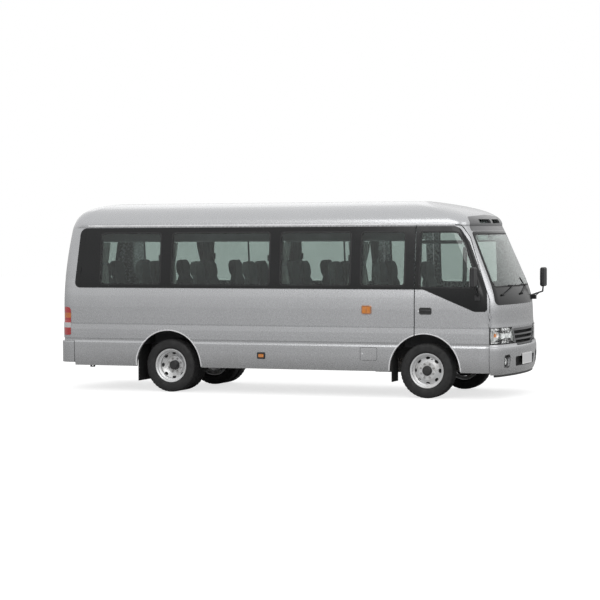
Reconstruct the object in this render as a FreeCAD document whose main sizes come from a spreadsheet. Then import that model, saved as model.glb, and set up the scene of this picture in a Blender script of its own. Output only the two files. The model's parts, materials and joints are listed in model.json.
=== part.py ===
import FreeCAD, Part
import Sketcher
import math
import os

# A 6.7 m minibus: X forward, Y to the vehicle's left, Z up from the road.
# The origin is on the road under the middle of the overall length.

V = FreeCAD.Vector
doc = FreeCAD.newDocument("Minibus")
sheet = doc.addObject("Spreadsheet::Sheet", "Sizes")


class Size:
    """A length with its number and the sheet formula that gives it."""

    def __init__(self, value, formula):
        self.value = float(value)
        self.formula = formula

    def combined(self, other, sign, value):
        text = other.formula if isinstance(other, Size) else repr(float(other))
        return Size(value, "(%s %s %s)" % (self.formula, sign, text))

    def __float__(self):
        return self.value

    def __add__(self, other):
        return self.combined(other, "+", self.value + float(other))

    def __sub__(self, other):
        return self.combined(other, "-", self.value - float(other))

    def __mul__(self, other):
        return self.combined(other, "*", self.value * float(other))

    def __truediv__(self, other):
        return self.combined(other, "/", self.value / float(other))

    def __neg__(self):
        return Size(-self.value, "(0 - %s)" % self.formula)


CELLS = {}


def add_sizes(group):
    """Write named values into the sheet, one row each, in millimetres or degrees."""
    for name, value in group:
        row = str(len(CELLS) + 1)
        sheet.set("A" + row, name.replace("_", " "))
        sheet.set("B" + row, str(value))
        sheet.setAlias("B" + row, name)
        CELLS[name] = row


def cell(name):
    """A sheet value with its formula."""
    return Size(sheet.get(name), "Sizes." + name)


def mm(name):
    """A sheet value as a plain number."""
    return float(sheet.get(name))


# Overall and axles
add_sizes([
    ("wheelbase", 3800), ("front_axle_x", 2235), ("front_track", 1690), ("rear_track", 1490),
    ("dual_spacing", 240), ("roof_height", 2670), ("body_half_width", 1031), ("skirt_half_width", 1040),
    ("belt_half_width", 1036), ("groove_half_width", 1028),
])
# Heights of the outer body
add_sizes([
    ("skirt_bottom", 360), ("skirt_top", 708), ("groove_top", 750), ("crease_height", 964),
    ("cant_height", 2320), ("tumblehome_start", 1380), ("tuck_top", 540), ("tuck_depth", 20),
])
# Nose and tail
add_sizes([
    ("nose_x", 3343), ("tail_x", 3345), ("tail_lean", 122), ("quarter_line_x", -2946),
    ("nose_arc_radius", 3800), ("tail_arc_radius", 8000), ("nose_corner_share", 0.25), ("tail_corner_share", 0.22),
    ("roof_front_drop", 880), ("roof_front_slope", 40), ("roof_tail_drop", 350), ("tumblehome_slope", 0.105),
    ("windscreen_slope", 0.41),
])
# Walls
add_sizes([
    ("wall", 50), ("glass", 6), ("panel_gap", 8), ("door_gap", 14), ("seam", 0.3), ("arch_radius", 505),
    ("frame_lap", 14),
])
# Windows along the sides
add_sizes([
    ("band_bottom", 1470), ("band_top", 2322), ("band_rear_x", -3010), ("glass_bottom", 1512), ("glass_top", 2256),
    ("window_one_rear", -2656), ("window_one_front", -1690), ("window_two_rear", -1532), ("window_two_front", -22),
    ("window_three_rear", 125), ("window_three_front", 1173), ("window_four_rear", 1310), ("window_four_front", 1956),
    ("window_corner", 55), ("left_one_rear", -2900), ("left_one_front", -1925), ("left_two_rear", -1755),
    ("left_two_front", -480), ("left_three_rear", -340), ("screen_side_front", 2690), ("rear_pane_half", 740),
    ("rear_pane_bottom", 1545), ("rear_pane_top", 2190), ("rear_pane_corner", 90),
])
# Doors
add_sizes([
    ("door_rear_x", 2101), ("door_front_x", 3130), ("door_top", 2338), ("door_glass_rear", 2150),
    ("entry_front_x", 1728), ("entry_width", 740), ("entry_bottom", 400), ("entry_top", 2250), ("entry_post", 84),
    ("luggage_half_width", 565), ("luggage_bottom", 735), ("luggage_top", 1395),
    ("flap_rear_x", 1319), ("flap_front_x", 1564), ("flap_bottom", 504), ("flap_top", 685), ("flap_thickness", 10),
    ("flap_pocket_depth", 34), ("flap_gap", 5), ("hinge_radius", 9), ("hinge_pin_radius", 4), ("hinge_height", 76),
])
# Front face
add_sizes([
    ("screen_bottom", 1262), ("screen_glass_bottom", 1470), ("screen_top", 2250), ("header_top", 2478),
    ("screen_bottom_half", 915), ("screen_top_half", 800), ("lamp_bottom", 742), ("lamp_top", 958),
    ("grille_half", 500), ("grille_taper", 115), ("grille_bottom", 712), ("grille_top", 942), ("lamp_strip", 12),
    ("bumper_top", 738), ("bumper_bottom", 330), ("bumper_stand_off", 27), ("bumper_wall", 30),
    ("rear_bumper_bottom", 400), ("rear_bumper_top", 704), ("bumper_front_x", -3054), ("rear_bumper_stand_off", 30),
    ("intake_bottom", 430), ("intake_top", 560), ("intake_half", 470), ("fog_inner", 640), ("fog_outer", 790),
    ("fog_bottom", 430), ("fog_top", 590), ("fog_radius", 44), ("fog_lamp_y", 735), ("lip_height", 28),
    ("plate_half", 230), ("plate_height", 150), ("plate_bottom", 442), ("rear_plate_bottom", 480),
    ("air_slot_length", 430), ("air_slot_edge", 45), ("air_slot_bottom", 2358), ("air_slot_height", 56),
])
# Floor and chassis
add_sizes([
    ("floor_top", 700), ("floor_thickness", 40), ("wheel_box_top", 905), ("wheel_box_side", 455),
    ("wheel_box_wall", 20), ("wheel_box_reach", 523), ("wheel_box_room", 465), ("step_side", 620),
    ("step_height", 450), ("rail_width", 60), ("rail_height", 150), ("rail_spacing", 400),
    ("rail_front_x", 3130), ("rail_rear_x", -3140), ("cross_member", 80), ("eye_radius", 22), ("eye_plate", 24),
    ("eye_length", 70), ("eye_height", 325), ("front_eye_x", 3050), ("rear_eye_x", -3125), ("hinge_room", 110),
    ("engine_reach", 480), ("engine_length", 780), ("engine_width", 560), ("engine_bottom", 420),
    ("engine_height", 470),
])
# Wheels and tyres
add_sizes([
    ("tyre_radius", 373), ("tyre_width", 212), ("tread_half", 84), ("flange_radius", 237), ("bead_radius", 222),
    ("well_radius", 196), ("rim_half", 84), ("rim_wall", 8), ("nut_face_radius", 124),
    ("hub_radius", 66), ("hub_cap_radius", 58), ("hand_hole_depth", 17), ("hand_hole_length", 31),
    ("hand_hole_circle", 171),
])
# Axles
add_sizes([
    ("king_pin_track", 1500), ("king_pin_radius", 18), ("pin_clearance", 0.4), ("beam_height", 70),
    ("beam_width", 56), ("beam_centre", 312), ("axle_tube_radius", 58), ("diff_radius", 165),
    ("spring_width", 60), ("spring_thickness", 34), ("spring_reach", 600), ("drum_radius", 168),
    ("spindle_radius", 29), ("spindle_length", 75),
])
# Inside
add_sizes([
    ("seat_width", 420), ("seat_back_top", 1845), ("seat_height", 450), ("seat_round", 120),
    ("row_one", -2680), ("row_two", -2046), ("row_three", -1190), ("row_four", -386), ("row_five", 261),
    ("row_six", 903), ("row_seven", 1561), ("window_seat_edge", 890), ("aisle_seat_edge", 460),
    ("driver_y", -600), ("driver_x", 2215), ("driver_seat_half", 235), ("curtain_thickness", 30),
    ("curtain_bottom", 1500), ("curtain_top", 2117), ("curtain_tie", 1810), ("duct_bottom", 2120),
    ("duct_board", 12), ("duct_half", 700), ("duct_rear", -2900), ("duct_right_front", 1960),
    ("duct_left_front", 900), ("column_foot_x", 2965), ("column_foot_height", 1230), ("column_lean", 46),
    ("column_length", 330), ("wheel_rim_radius", 205), ("wheel_rim_tube", 14),
])
doc.recompute()

REAR_AXLE_X = mm("front_axle_x") - mm("wheelbase")
AXLE_Z = mm("tyre_radius")
FAR = 4000
HALF = 1200
TAIL_REACH = -2900
NOSE_REACH = 3000
ROOF_POWER = 2.6
ROOF_WIDTHS = (1, 0.97, 0.9, 0.8, 0.66, 0.5, 0.34, 0.18, 0.075)
parts = []


def keep(obj, label):
    """Give a finished sub-part the label that names its file."""
    obj.Label = label
    parts.append(obj)
    return obj


def formed(label, shape, placement=None):
    """A sub-part whose curved form comes from Part functions."""
    obj = doc.addObject("Part::Feature", label)
    obj.Shape = shape
    obj.Placement = placement or FreeCAD.Placement()
    return keep(obj, label)


def bind(obj, **sizes):
    """Tie properties to sheet formulas; a double underscore stands for a dot."""
    for name, size in sizes.items():
        if isinstance(size, Size):
            obj.setExpression(name.replace("__", "."), size.formula)
        else:
            obj.setExpression(name.replace("__", "."), repr(float(size)))
    return obj


def place(obj, x, y, z):
    """Tie an object's position to sheet formulas."""
    for axis, size in zip("xyz", (x, y, z)):
        text = size.formula if isinstance(size, Size) else repr(float(size))
        obj.setExpression("Placement.Base." + axis, text)
    return obj


def box(name, length, width, height, x, y, z):
    """A block with one corner at x, y, z, tied to the sheet."""
    obj = doc.addObject("Part::Box", name)
    bind(obj, Length=length, Width=width, Height=height)
    return place(obj, x, y, z)


def rod(name, radius, length, x, y, z, axis):
    """A round bar from x, y, z along an axis, tied to the sheet."""
    obj = doc.addObject("Part::Cylinder", name)
    bind(obj, Radius=radius, Height=length)
    turns = {"x": FreeCAD.Rotation(V(0, 1, 0), 90), "y": FreeCAD.Rotation(V(1, 0, 0), -90),
             "z": FreeCAD.Rotation()}
    obj.Placement = FreeCAD.Placement(V(), turns[axis])
    return place(obj, x, y, z)


def fused(name, pieces):
    """Several objects made one solid."""
    obj = doc.addObject("Part::MultiFuse", name)
    obj.Shapes = pieces
    return obj


def cut(name, base, tool):
    """One object less another."""
    obj = doc.addObject("Part::Cut", name)
    obj.Base = base
    obj.Tool = tool
    return obj


def rounded_face(points, plane, at=0.0):
    """A flat face from (u, v, corner radius) points on the plane XZ, YZ or XY."""
    to_space = {"XZ": lambda u, v: V(u, at, v), "YZ": lambda u, v: V(at, u, v), "XY": lambda u, v: V(u, v, at)}[plane]
    edges = []
    last = None
    first = None
    count = len(points)
    for index, (u, v, radius) in enumerate(points):
        before = points[index - 1]
        after = points[(index + 1) % count]
        corner = V(u, v, 0)
        back = V(before[0], before[1], 0) - corner
        ahead = V(after[0], after[1], 0) - corner
        back.normalize()
        ahead.normalize()
        if radius > 0:
            half = back.getAngle(ahead) / 2
            run = radius / math.tan(half)
            start = corner + back * run
            end = corner + ahead * run
            bisector = (back + ahead).normalize()
            middle = corner + bisector * (radius / math.sin(half) - radius)
        else:
            start = end = corner
        if last is not None and (start - last).Length > 1e-6:
            edges.append(Part.makeLine(to_space(last.x, last.y), to_space(start.x, start.y)))
        if radius > 0:
            arc = Part.Arc(to_space(start.x, start.y), to_space(middle.x, middle.y), to_space(end.x, end.y))
            edges.append(arc.toShape())
        first = first or start
        last = end
    if (first - last).Length > 1e-6:
        edges.append(Part.makeLine(to_space(last.x, last.y), to_space(first.x, first.y)))
    return Part.Face(Part.Wire(edges))


def side_prism(points, low, high):
    """A prism with an outline in the side view, between two Y planes."""
    return rounded_face(points, "XZ", low).extrude(V(0, high - low, 0))


def front_prism(points, rear, front):
    """A prism with an outline in the front view, between two X planes."""
    return rounded_face(points, "YZ", rear).extrude(V(front - rear, 0, 0))


def block(x0, x1, y0, y1, z0, z1):
    """A plain box between opposite corners, for cutting."""
    return Part.makeBox(x1 - x0, y1 - y0, z1 - z0, V(x0, y0, z0))


def rectangle(x0, x1, z0, z1, corner=0.0):
    """Corner points of an upright rectangle with rounded corners."""
    return [(x0, z0, corner), (x1, z0, corner), (x1, z1, corner), (x0, z1, corner)]


def mirrored(shape):
    """The same shape on the other side of the vehicle."""
    return shape.mirror(V(0, 0, 0), V(0, 1, 0))


def together(shapes):
    """Shapes that don't touch, kept as one sub-part."""
    return Part.makeCompound([solid for shape in shapes for solid in shape.Solids])


# The body's outer form


def eased(value, width):
    """Rises from zero to the value along a soft bend of the given width."""
    return (value + math.sqrt(value * value + width * width)) / 2


def side_at(z):
    """Half-width of the upper body at a height below the cant rail."""
    return mm("body_half_width") - mm("tumblehome_slope") * eased(z - mm("tumblehome_start"), 160)


def nose_at(z):
    """Foremost point of the nose and windscreen at a height."""
    lean = mm("windscreen_slope") * eased(z - mm("tumblehome_start"), 120)
    return mm("nose_x") - 0.05 * (z - mm("lamp_top") + 78) - lean


def tail_at(z):
    """Rearmost point of the tail wall at a height below the cant rail."""
    rise = max(0.0, (z - 1200) / (mm("cant_height") - 1200))
    return -mm("tail_x") + mm("tail_lean") * rise * rise


def plan_wire(z, half, front, rear, front_round, rear_round, front_arc, rear_arc):
    """The body's plan outline: arcs at nose and tail, corner arcs and straight sides."""
    front_y = half - front_round
    front_x = front - front_arc + math.sqrt((front_arc - front_round) ** 2 - front_y ** 2)
    front_angle = math.atan2(front_y, front_x - (front - front_arc))
    rear_y = half - rear_round
    rear_x = rear + rear_arc - math.sqrt((rear_arc - rear_round) ** 2 - rear_y ** 2)
    rear_angle = math.atan2(rear_y, (rear + rear_arc) - rear_x)

    def on_front(angle):
        return V(front - front_arc + front_arc * math.cos(angle), front_arc * math.sin(angle), z)

    def on_rear(angle):
        return V(rear + rear_arc - rear_arc * math.cos(angle), rear_arc * math.sin(angle), z)

    def flipped(point):
        return V(point.x, -point.y, point.z)

    bend = (front_angle + math.pi / 2) / 2
    front_middle = V(front_x + front_round * math.cos(bend), front_y + front_round * math.sin(bend), z)
    bend = (rear_angle + math.pi / 2) / 2
    rear_middle = V(rear_x - rear_round * math.cos(bend), rear_y + rear_round * math.sin(bend), z)
    corner_front = on_front(front_angle)
    corner_rear = on_rear(rear_angle)
    side_front = V(front_x, half, z)
    side_rear = V(rear_x, half, z)
    return Part.Wire([
        Part.Arc(flipped(corner_front), on_front(0), corner_front).toShape(),
        Part.Arc(corner_front, front_middle, side_front).toShape(),
        Part.makeLine(side_front, side_rear),
        Part.Arc(side_rear, rear_middle, corner_rear).toShape(),
        Part.Arc(corner_rear, on_rear(0), flipped(corner_rear)).toShape(),
        Part.Arc(flipped(corner_rear), flipped(rear_middle), flipped(side_rear)).toShape(),
        Part.makeLine(flipped(side_rear), flipped(side_front)),
        Part.Arc(flipped(side_front), flipped(front_middle), flipped(corner_front)).toShape(),
    ])


def body_section(z, inset, top):
    """The plan outline of the upper body at a height, moved in by the inset."""
    cant = mm("cant_height")
    level = max(0.0, (z - cant) / (top - cant))
    fullness = crowned(level)
    side = side_at(min(z, cant))
    half = (side - inset) * fullness
    front = nose_at(min(z, cant)) - mm("roof_front_drop") * level ** 2.8 - mm("roof_front_slope") * level
    rear = tail_at(min(z, cant)) + 0.43 * mm("roof_tail_drop") * level + mm("roof_tail_drop") * level ** 7
    closing = 0.6 * (1 - fullness) * half
    return plan_wire(z, half, front - inset, rear + inset,
                     (mm("nose_corner_share") * side - inset) * fullness + closing,
                     (mm("tail_corner_share") * side - inset) * fullness + closing,
                     mm("nose_arc_radius") - inset, mm("tail_arc_radius") - inset)


def crowned(level):
    """The roof's share of its full width at a level, or its level at a share of the width."""
    return (1 - level ** ROOF_POWER) ** (1 / ROOF_POWER)


def lower_section(z, half, inset):
    """The plan outline of the lower body, parallel to the body at the crease."""
    crease = mm("crease_height")
    inset -= half - side_at(crease)
    return plan_wire(z, side_at(crease) - inset, nose_at(crease) - inset, tail_at(crease) + inset,
                     mm("nose_corner_share") * side_at(crease) - inset,
                     mm("tail_corner_share") * side_at(crease) - inset,
                     mm("nose_arc_radius") - inset, mm("tail_arc_radius") - inset)


def tucked_skirt():
    """The skirt below its widest line, drawn in towards its lower edge."""
    low = mm("skirt_bottom")
    reach = mm("tuck_top") - low
    sections = []
    for share in (0, 1 / 3, 2 / 3, 1):
        drawn_in = mm("tuck_depth") * (1 - share) ** 2
        sections.append(lower_section(low + reach * share, mm("skirt_half_width") - drawn_in, 0))
    return Part.makeLoft(sections, True, False)


def envelope(inset):
    """The closed body form, moved in by the inset; with no inset it has the skirt and its groove."""
    crease = mm("crease_height")
    cant = mm("cant_height")
    top = mm("roof_height") - inset
    waist = Part.makeLoft([body_section(crease + (cant - crease) * share, inset, top)
                           for share in (0, 0.15, 0.28, 0.4, 0.55, 0.75, 1)], True, False)
    roof = Part.makeLoft([body_section(cant + (top - cant) * crowned(width), inset, top)
                          for width in ROOF_WIDTHS], True, False)
    pieces = [waist, roof]
    if inset > 0:
        steps = [(mm("skirt_bottom") - 1, crease, mm("groove_half_width"))]
    else:
        steps = [(mm("tuck_top"), mm("skirt_top"), mm("skirt_half_width")),
                 (mm("skirt_top"), mm("groove_top"), mm("groove_half_width")),
                 (mm("groove_top"), crease, mm("belt_half_width"))]
        pieces.append(tucked_skirt())
    for low, high, half in steps:
        face = Part.Face(lower_section(low, half, inset))
        pieces.append(face.extrude(V(0, 0, high - low)))
    return pieces[0].multiFuse(pieces[1:])


outer = envelope(0)
inner = envelope(mm("wall"))
skin = envelope(mm("glass"))
skin_lamp = envelope(mm("wall") * 0.7)
inner_screen = envelope(mm("glass") + 4)
shell = outer.cut(inner)
top_layer = outer.cut(skin)


# Hinges with upright pins


def hinge(x, y, z, to_root, inboard, size, arm_depth):
    """One hinge at x, y, z: the fixed barrel with its pin, the leaf's barrel, and the room each needs."""
    radius = mm("hinge_radius") * size
    half = mm("hinge_height") * size / 2
    reach = (mm("door_gap") + 6) * size

    def barrel(low, direction):
        knuckle = Part.makeCylinder(radius, half - mm("seam"), V(x, y, low))
        far = V(x, y, 0) + direction * reach + inboard * arm_depth * size
        arm = block(min(x, far.x), max(x, far.x), min(y, far.y), max(y, far.y), low, low + half - mm("seam"))
        return knuckle.fuse(arm)

    pin = Part.makeCylinder(mm("hinge_pin_radius") * size, 2 * half - 1, V(x, y, z - half))
    bore = Part.makeCylinder(mm("hinge_pin_radius") * size + 0.2, 2 * half, V(x, y, z - half))
    fixed = barrel(z - half, to_root).fuse(pin)
    moving = barrel(z + mm("seam"), -to_root).cut(bore)
    room = radius + 5 * size
    for_fixed = Part.makeCylinder(room, half + 3, V(x, y, z - half - 3))
    for_moving = Part.makeCylinder(room, half + 3, V(x, y, z))
    return fixed, moving, for_fixed, for_moving


def hinges(x, y, heights, to_root, inboard, size=1.0, arm_depth=17):
    """Several hinges on one axis, as lists of fixed and moving barrels and of the room for each."""
    sets = [hinge(x, y, z, to_root, inboard, size, arm_depth) for z in heights]
    return [list(pieces) for pieces in zip(*sets)]


# Side view outlines


def door_outline(gap):
    """The driver's door in side view, grown by a gap, from the skirt to the cant rail."""
    front = mm("door_front_x") + gap
    rear = mm("door_rear_x") - gap
    low = mm("skirt_bottom") - 1 - gap
    top = mm("door_top") + gap
    return [(rear, low, 0), (front, low, 0), (front, 1330, 300), (2828 + gap, 2175, 120), (2712 + gap, top, 80),
            (rear, top, 20)]


def door_trim_outline():
    """The black glass band on the driver's door, which drops to the sill at its front."""
    rear = mm("door_rear_x")
    return [(rear, mm("band_bottom"), 0), (2219, mm("band_bottom"), 120), (2935, 1178, 70), (3108, 1178, 45),
            (3095, 1450, 400), (2835, 2110, 200), (2690, mm("band_top"), 120), (rear, mm("band_top"), 0)]


def door_glass_outline():
    """The clear pane of the driver's door."""
    rear = mm("door_glass_rear")
    low = mm("glass_bottom") - 20
    return [(rear, low, 40), (3010, low, 30), (2800, 2080, 120), (2690, mm("glass_top"), 110),
            (rear, mm("glass_top"), 40)]


def band_outline(front):
    """The black window band from the rear quarter forward."""
    rear = mm("band_rear_x")
    return [(rear, mm("band_bottom"), 70), (front, mm("band_bottom"), 0), (front, mm("band_top"), 0),
            (rear + 100, mm("band_top"), 90)]


def windows():
    """The four clear panes of a side, each from its rear to its front edge."""
    names = ["one", "two", "three", "four"]
    return [(mm("window_%s_rear" % name), mm("window_%s_front" % name)) for name in names]


def window_outline(rear, front, inset=0.0):
    """A clear side pane, made smaller by the inset."""
    return rectangle(rear + inset, front - inset, mm("glass_bottom") + inset, mm("glass_top") - inset,
                     max(mm("window_corner") - inset, 10))


def arch(x, radius, reach=HALF):
    """A wheel-arch cylinder across the body at one axle."""
    return Part.makeCylinder(radius, 2 * reach, V(x, -reach, AXLE_Z), V(0, 1, 0))


def arches(radius):
    """Both wheel arches, open down to the road."""
    shapes = []
    for x in (mm("front_axle_x"), REAR_AXLE_X):
        shapes.append(arch(x, radius))
        shapes.append(block(x - radius, x + radius, -HALF, HALF, 0, AXLE_Z))
    return shapes


ARCHES = arches(mm("arch_radius"))


# Front view outlines


def screen_outline(low, high, inset=0.0):
    """The windscreen in front view between two heights, made smaller by the inset."""
    def half(z):
        share = (z - mm("screen_bottom")) / (mm("screen_top") - mm("screen_bottom"))
        return mm("screen_bottom_half") + share * (mm("screen_top_half") - mm("screen_bottom_half")) - inset
    low += inset
    high -= inset
    return [(-half(low), low, 70), (half(low), low, 70), (half(high), high, 60), (-half(high), high, 60)]


def header_outline(inset=0.0):
    """The grille panel above the windscreen in front view."""
    low = mm("screen_top") + mm("panel_gap") / 2
    top = mm("header_top") - inset
    half = mm("screen_top_half") - inset
    return [(-half, low, 20), (half, low, 20), (half - 45, top - 30, 80), (0, top, 900), (45 - half, top - 30, 80)]


def side_wall(sign):
    """A body side from the door or nose line back to the tail, before its openings."""
    nose_line = mm("door_rear_x") - mm("door_gap") if sign < 0 else mm("door_front_x") + mm("panel_gap")
    region = block(mm("quarter_line_x"), nose_line, sign * HALF if sign < 0 else 600, -600 if sign < 0 else HALF,
                   mm("skirt_bottom") - 2, mm("cant_height") + 14)
    return shell.common(region)


def make_right_side():
    """The right side: arches, window openings, the fuel pocket and the door's rear line."""
    wall = side_wall(-1)
    band = top_layer.common(side_prism(band_outline(mm("door_rear_x") - mm("door_gap")), -HALF, -600))
    openings = [side_prism(window_outline(rear, front, mm("frame_lap")), -HALF, -600) for rear, front in windows()]
    pocket = side_prism(rectangle(mm("flap_rear_x"), mm("flap_front_x"), mm("flap_bottom"), mm("flap_top"), 20),
                        -HALF, -mm("skirt_half_width") + mm("flap_pocket_depth"))
    fixed, moving, for_fixed, for_moving = flap_hinges()
    wall = wall.cut([band, pocket] + openings + for_moving + ARCHES).multiFuse(fixed)
    panes = [side_prism(window_outline(rear, front), -HALF, -600) for rear, front in windows()]
    formed("body_side_right", wall)
    return band.cut(panes), top_layer.common(Part.makeCompound(panes))


def flap_hinges():
    """The fuel flap's two small hinges at its front edge."""
    x = mm("flap_front_x") - mm("flap_gap") / 2
    middle = (mm("flap_bottom") + mm("flap_top")) / 2
    return hinges(x, -mm("skirt_half_width") - 0.5, (middle - 50, middle + 50),
                  V(1, 0, 0), V(0, 1, 0), 0.35)


def entry_outline(gap):
    """The passenger door in side view."""
    return rectangle(mm("entry_front_x") - mm("entry_width") - gap, mm("entry_front_x") + gap,
                     mm("entry_bottom") - gap, mm("entry_top") + gap, 30)


def left_windows():
    """The left panes: two wide ones, then those behind and ahead of the passenger door."""
    edge = mm("entry_post")
    return [(mm("left_one_rear"), mm("left_one_front")), (mm("left_two_rear"), mm("left_two_front")),
            (mm("left_three_rear"), mm("entry_front_x") - mm("entry_width") - edge),
            (mm("entry_front_x") + edge, mm("screen_side_front"))]


def entry_hinges():
    """The passenger door's three hinges at its front edge."""
    x = mm("entry_front_x") + mm("door_gap") / 2
    y = mm("skirt_half_width") + 0.5
    return hinges(x, y, (560, 850, 1120), V(1, 0, 0), V(0, -1, 0))


def make_left_side():
    """The left side: arches, window openings and the passenger doorway."""
    wall = side_wall(1)
    band = top_layer.common(side_prism(left_band_outline(), 600, HALF))
    doorway = side_prism(entry_outline(mm("door_gap")), 600, HALF)
    openings = [side_prism(window_outline(rear, front, mm("frame_lap")), 600, HALF)
                for rear, front in left_windows()]
    slant = side_prism(pillar_line(), 600, HALF)
    fixed, moving, for_fixed, for_moving = entry_hinges()
    wall = wall.cut([band, doorway, slant] + openings + for_moving + ARCHES).multiFuse(fixed)
    panes = [side_prism(window_outline(rear, front), 600, HALF) for rear, front in left_windows()]
    band = band.cut(panes + [doorway])
    formed("body_side_left", wall)
    return band, top_layer.common(Part.makeCompound(panes))


def pillar_line(gap=0.0):
    """The space ahead of the left side's slanted front edge, made smaller by a gap."""
    top = mm("cant_height") + 20
    low = mm("skirt_top")
    front = mm("door_front_x") + mm("panel_gap") + gap
    return [(2700 + gap, top, 0), (3400, top, 0), (3400, low, 0), (front, low, 0), (front, 1330, 0),
            (2828 + gap, 2175, 120)]


def left_band_outline():
    """The black window band of the left side, to the windscreen pillar."""
    rear = mm("band_rear_x")
    return [(rear, mm("band_bottom"), 70), (3075, mm("band_bottom"), 60), (2835, 2110, 200),
            (2690, mm("band_top"), 120), (rear + 100, mm("band_top"), 90)]


def make_roof():
    """The roof down to the cant rails, less the header panel's place."""
    region = block(-FAR, FAR, -HALF, HALF, mm("cant_height") + 14 + mm("seam"), mm("roof_height") + 10)
    roof = shell.common(region)
    roof = roof.cut([front_prism(header_outline(), 2400, FAR), side_prism(door_outline(mm("panel_gap")), -HALF, -600)])
    formed("roof_panel", roof)


def make_rear_panel():
    """The tail wall and rear corners, with the window, luggage doorway and lamp openings."""
    region = block(-FAR, mm("quarter_line_x") - mm("seam"), -HALF, HALF, mm("skirt_bottom") - 2,
                   mm("cant_height") + 14)
    wall = shell.common(region)
    pane = front_prism(rear_pane_outline(0), -FAR, TAIL_REACH)
    opening = front_prism(rear_pane_outline(mm("frame_lap")), -FAR, TAIL_REACH)
    side_bands = top_layer.common(together([side_prism(band_outline(-2000), -HALF, -600),
                                            side_prism(band_outline(-2000), 600, HALF)])).common(region)
    half = mm("luggage_half_width") + mm("panel_gap")
    doorway = front_prism(rectangle(-half, half, mm("luggage_bottom") - mm("panel_gap"),
                                    mm("luggage_top") + mm("panel_gap"), 20), -FAR, TAIL_REACH)
    under = block(-FAR, mm("bumper_front_x") + mm("panel_gap"), -HALF, HALF, 0, mm("rear_bumper_top") + 4)
    lamps = [lamp_region(side) for side in (-1, 1)]
    glass = top_layer.common(pane)
    rooms = []
    barrels = []
    for side in (-1, 1):
        fixed, moving, for_fixed, for_moving = luggage_hinges(side)
        rooms += for_moving
        barrels += fixed
    wall = wall.cut([glass, opening, doorway, side_bands, under] + lamps + rooms)
    formed("rear_panel", wall.multiFuse(barrels))
    return glass, side_bands


def rear_pane_outline(inset):
    """The rear window in front view, made smaller by the inset."""
    half = mm("rear_pane_half") - inset
    return rectangle(-half, half, mm("rear_pane_bottom") + inset, mm("rear_pane_top") - inset,
                     mm("rear_pane_corner") - inset)


def luggage_hinges(side):
    """The two hinges at one luggage door's outer edge."""
    y = side * (mm("luggage_half_width") + mm("panel_gap") / 2)
    x = -mm("tail_x") + mm("luggage_half_width") ** 2 / (2 * mm("tail_arc_radius")) - 2
    return hinges(x, y, (mm("luggage_bottom") + 110, mm("luggage_top") - 110),
                  V(0, side, 0), V(1, 0, 0))


def lamp_region(side):
    """The block that a tail lamp takes out of the rear corner."""
    low, high = (-HALF, -880) if side < 0 else (880, HALF)
    return block(-FAR, -mm("tail_x") + 190, low, high, 788, 1191).common(outer.cut(skin_lamp))


def make_tail_lamps():
    """Tall lamps that wrap round the rear corners."""
    formed("tail_lamps", together([lamp_region(side) for side in (-1, 1)]))


def make_luggage_doors():
    """Two side-hinged luggage doors below the rear window."""
    for label, side in (("luggage_door_right", -1), ("luggage_door_left", 1)):
        low, high = sorted((side * mm("panel_gap") / 2, side * mm("luggage_half_width")))
        prism = front_prism(rectangle(low, high, mm("luggage_bottom"), mm("luggage_top"), 14), -FAR, TAIL_REACH)
        fixed, moving, for_fixed, for_moving = luggage_hinges(side)
        formed(label, shell.common(prism).cut(for_fixed).multiFuse(moving))


def grille_half_at(z):
    """Half-width of the grille at a height: it narrows downward."""
    share = (mm("grille_top") - z) / (mm("grille_top") - mm("grille_bottom"))
    return mm("grille_half") - mm("grille_taper") * share


def lamp_prism(side, inset=0.0):
    """A headlamp's front outline, from beside the grille to round the corner."""
    low = mm("lamp_bottom") + inset
    high = mm("lamp_top") - inset
    beside = mm("lamp_strip") + inset
    outline = [(grille_half_at(low) + beside, low, 0), (HALF, low, 0), (HALF, high, 0),
               (grille_half_at(high) + beside, high, 0)]
    prism = front_prism(outline, mm("door_front_x") + mm("panel_gap"), FAR)
    return prism if side > 0 else mirrored(prism)


def grille_prism(inset=0.0):
    """The grille's front outline: wider at its top."""
    low = mm("grille_bottom") + inset
    high = mm("grille_top") - inset
    narrow = grille_half_at(low) - inset
    wide = grille_half_at(high) - inset
    outline = [(-narrow, low, 30), (narrow, low, 30), (wide, high, 25), (-wide, high, 25)]
    return front_prism(outline, NOSE_REACH, FAR)


def door_hinges():
    """The driver's door's two hinges, in front of the door's lower edge."""
    x = mm("door_front_x") + mm("panel_gap") / 2
    return hinges(x, -996, (1012, 1128), V(1, 0, 0), V(0, 1, 0), arm_depth=46)


def make_front_panel():
    """The nose, its corners and the pillars beside the windscreen, in one pressing."""
    low = mm("bumper_top") + mm("panel_gap") / 2
    top = mm("cant_height") + 14
    body = shell.common(block(2500, FAR, -HALF, HALF, low, top))
    screen = front_prism(screen_outline(mm("screen_bottom"), mm("screen_top")), 2400, FAR)
    header = front_prism(header_outline(), 2400, FAR)
    right_door = side_prism(door_outline(mm("panel_gap")), -HALF, 0)
    left_side = block(2400, 3400, 0, HALF, low - 1, top + 1).cut(side_prism(pillar_line(mm("seam")), -10, HALF + 10))
    lamps = [lamp_prism(side) for side in (-1, 1)]
    fixed, moving, for_fixed, for_moving = door_hinges()
    body = body.cut([screen, header, right_door, left_side, grille_prism()] + lamps + for_moving)
    formed("front_panel", body.multiFuse(fixed))


def make_screen():
    """The windscreen and its black border, bonded into the opening."""
    layer = outer.cut(inner_screen)
    whole = front_prism(screen_outline(mm("screen_bottom"), mm("screen_top"), mm("seam")), 2400, FAR)
    clear = front_prism(screen_outline(mm("screen_glass_bottom"), mm("screen_top"), 28), 2400, FAR)
    formed("windscreen", layer.common(clear))
    return layer.common(whole.cut(clear))


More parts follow.
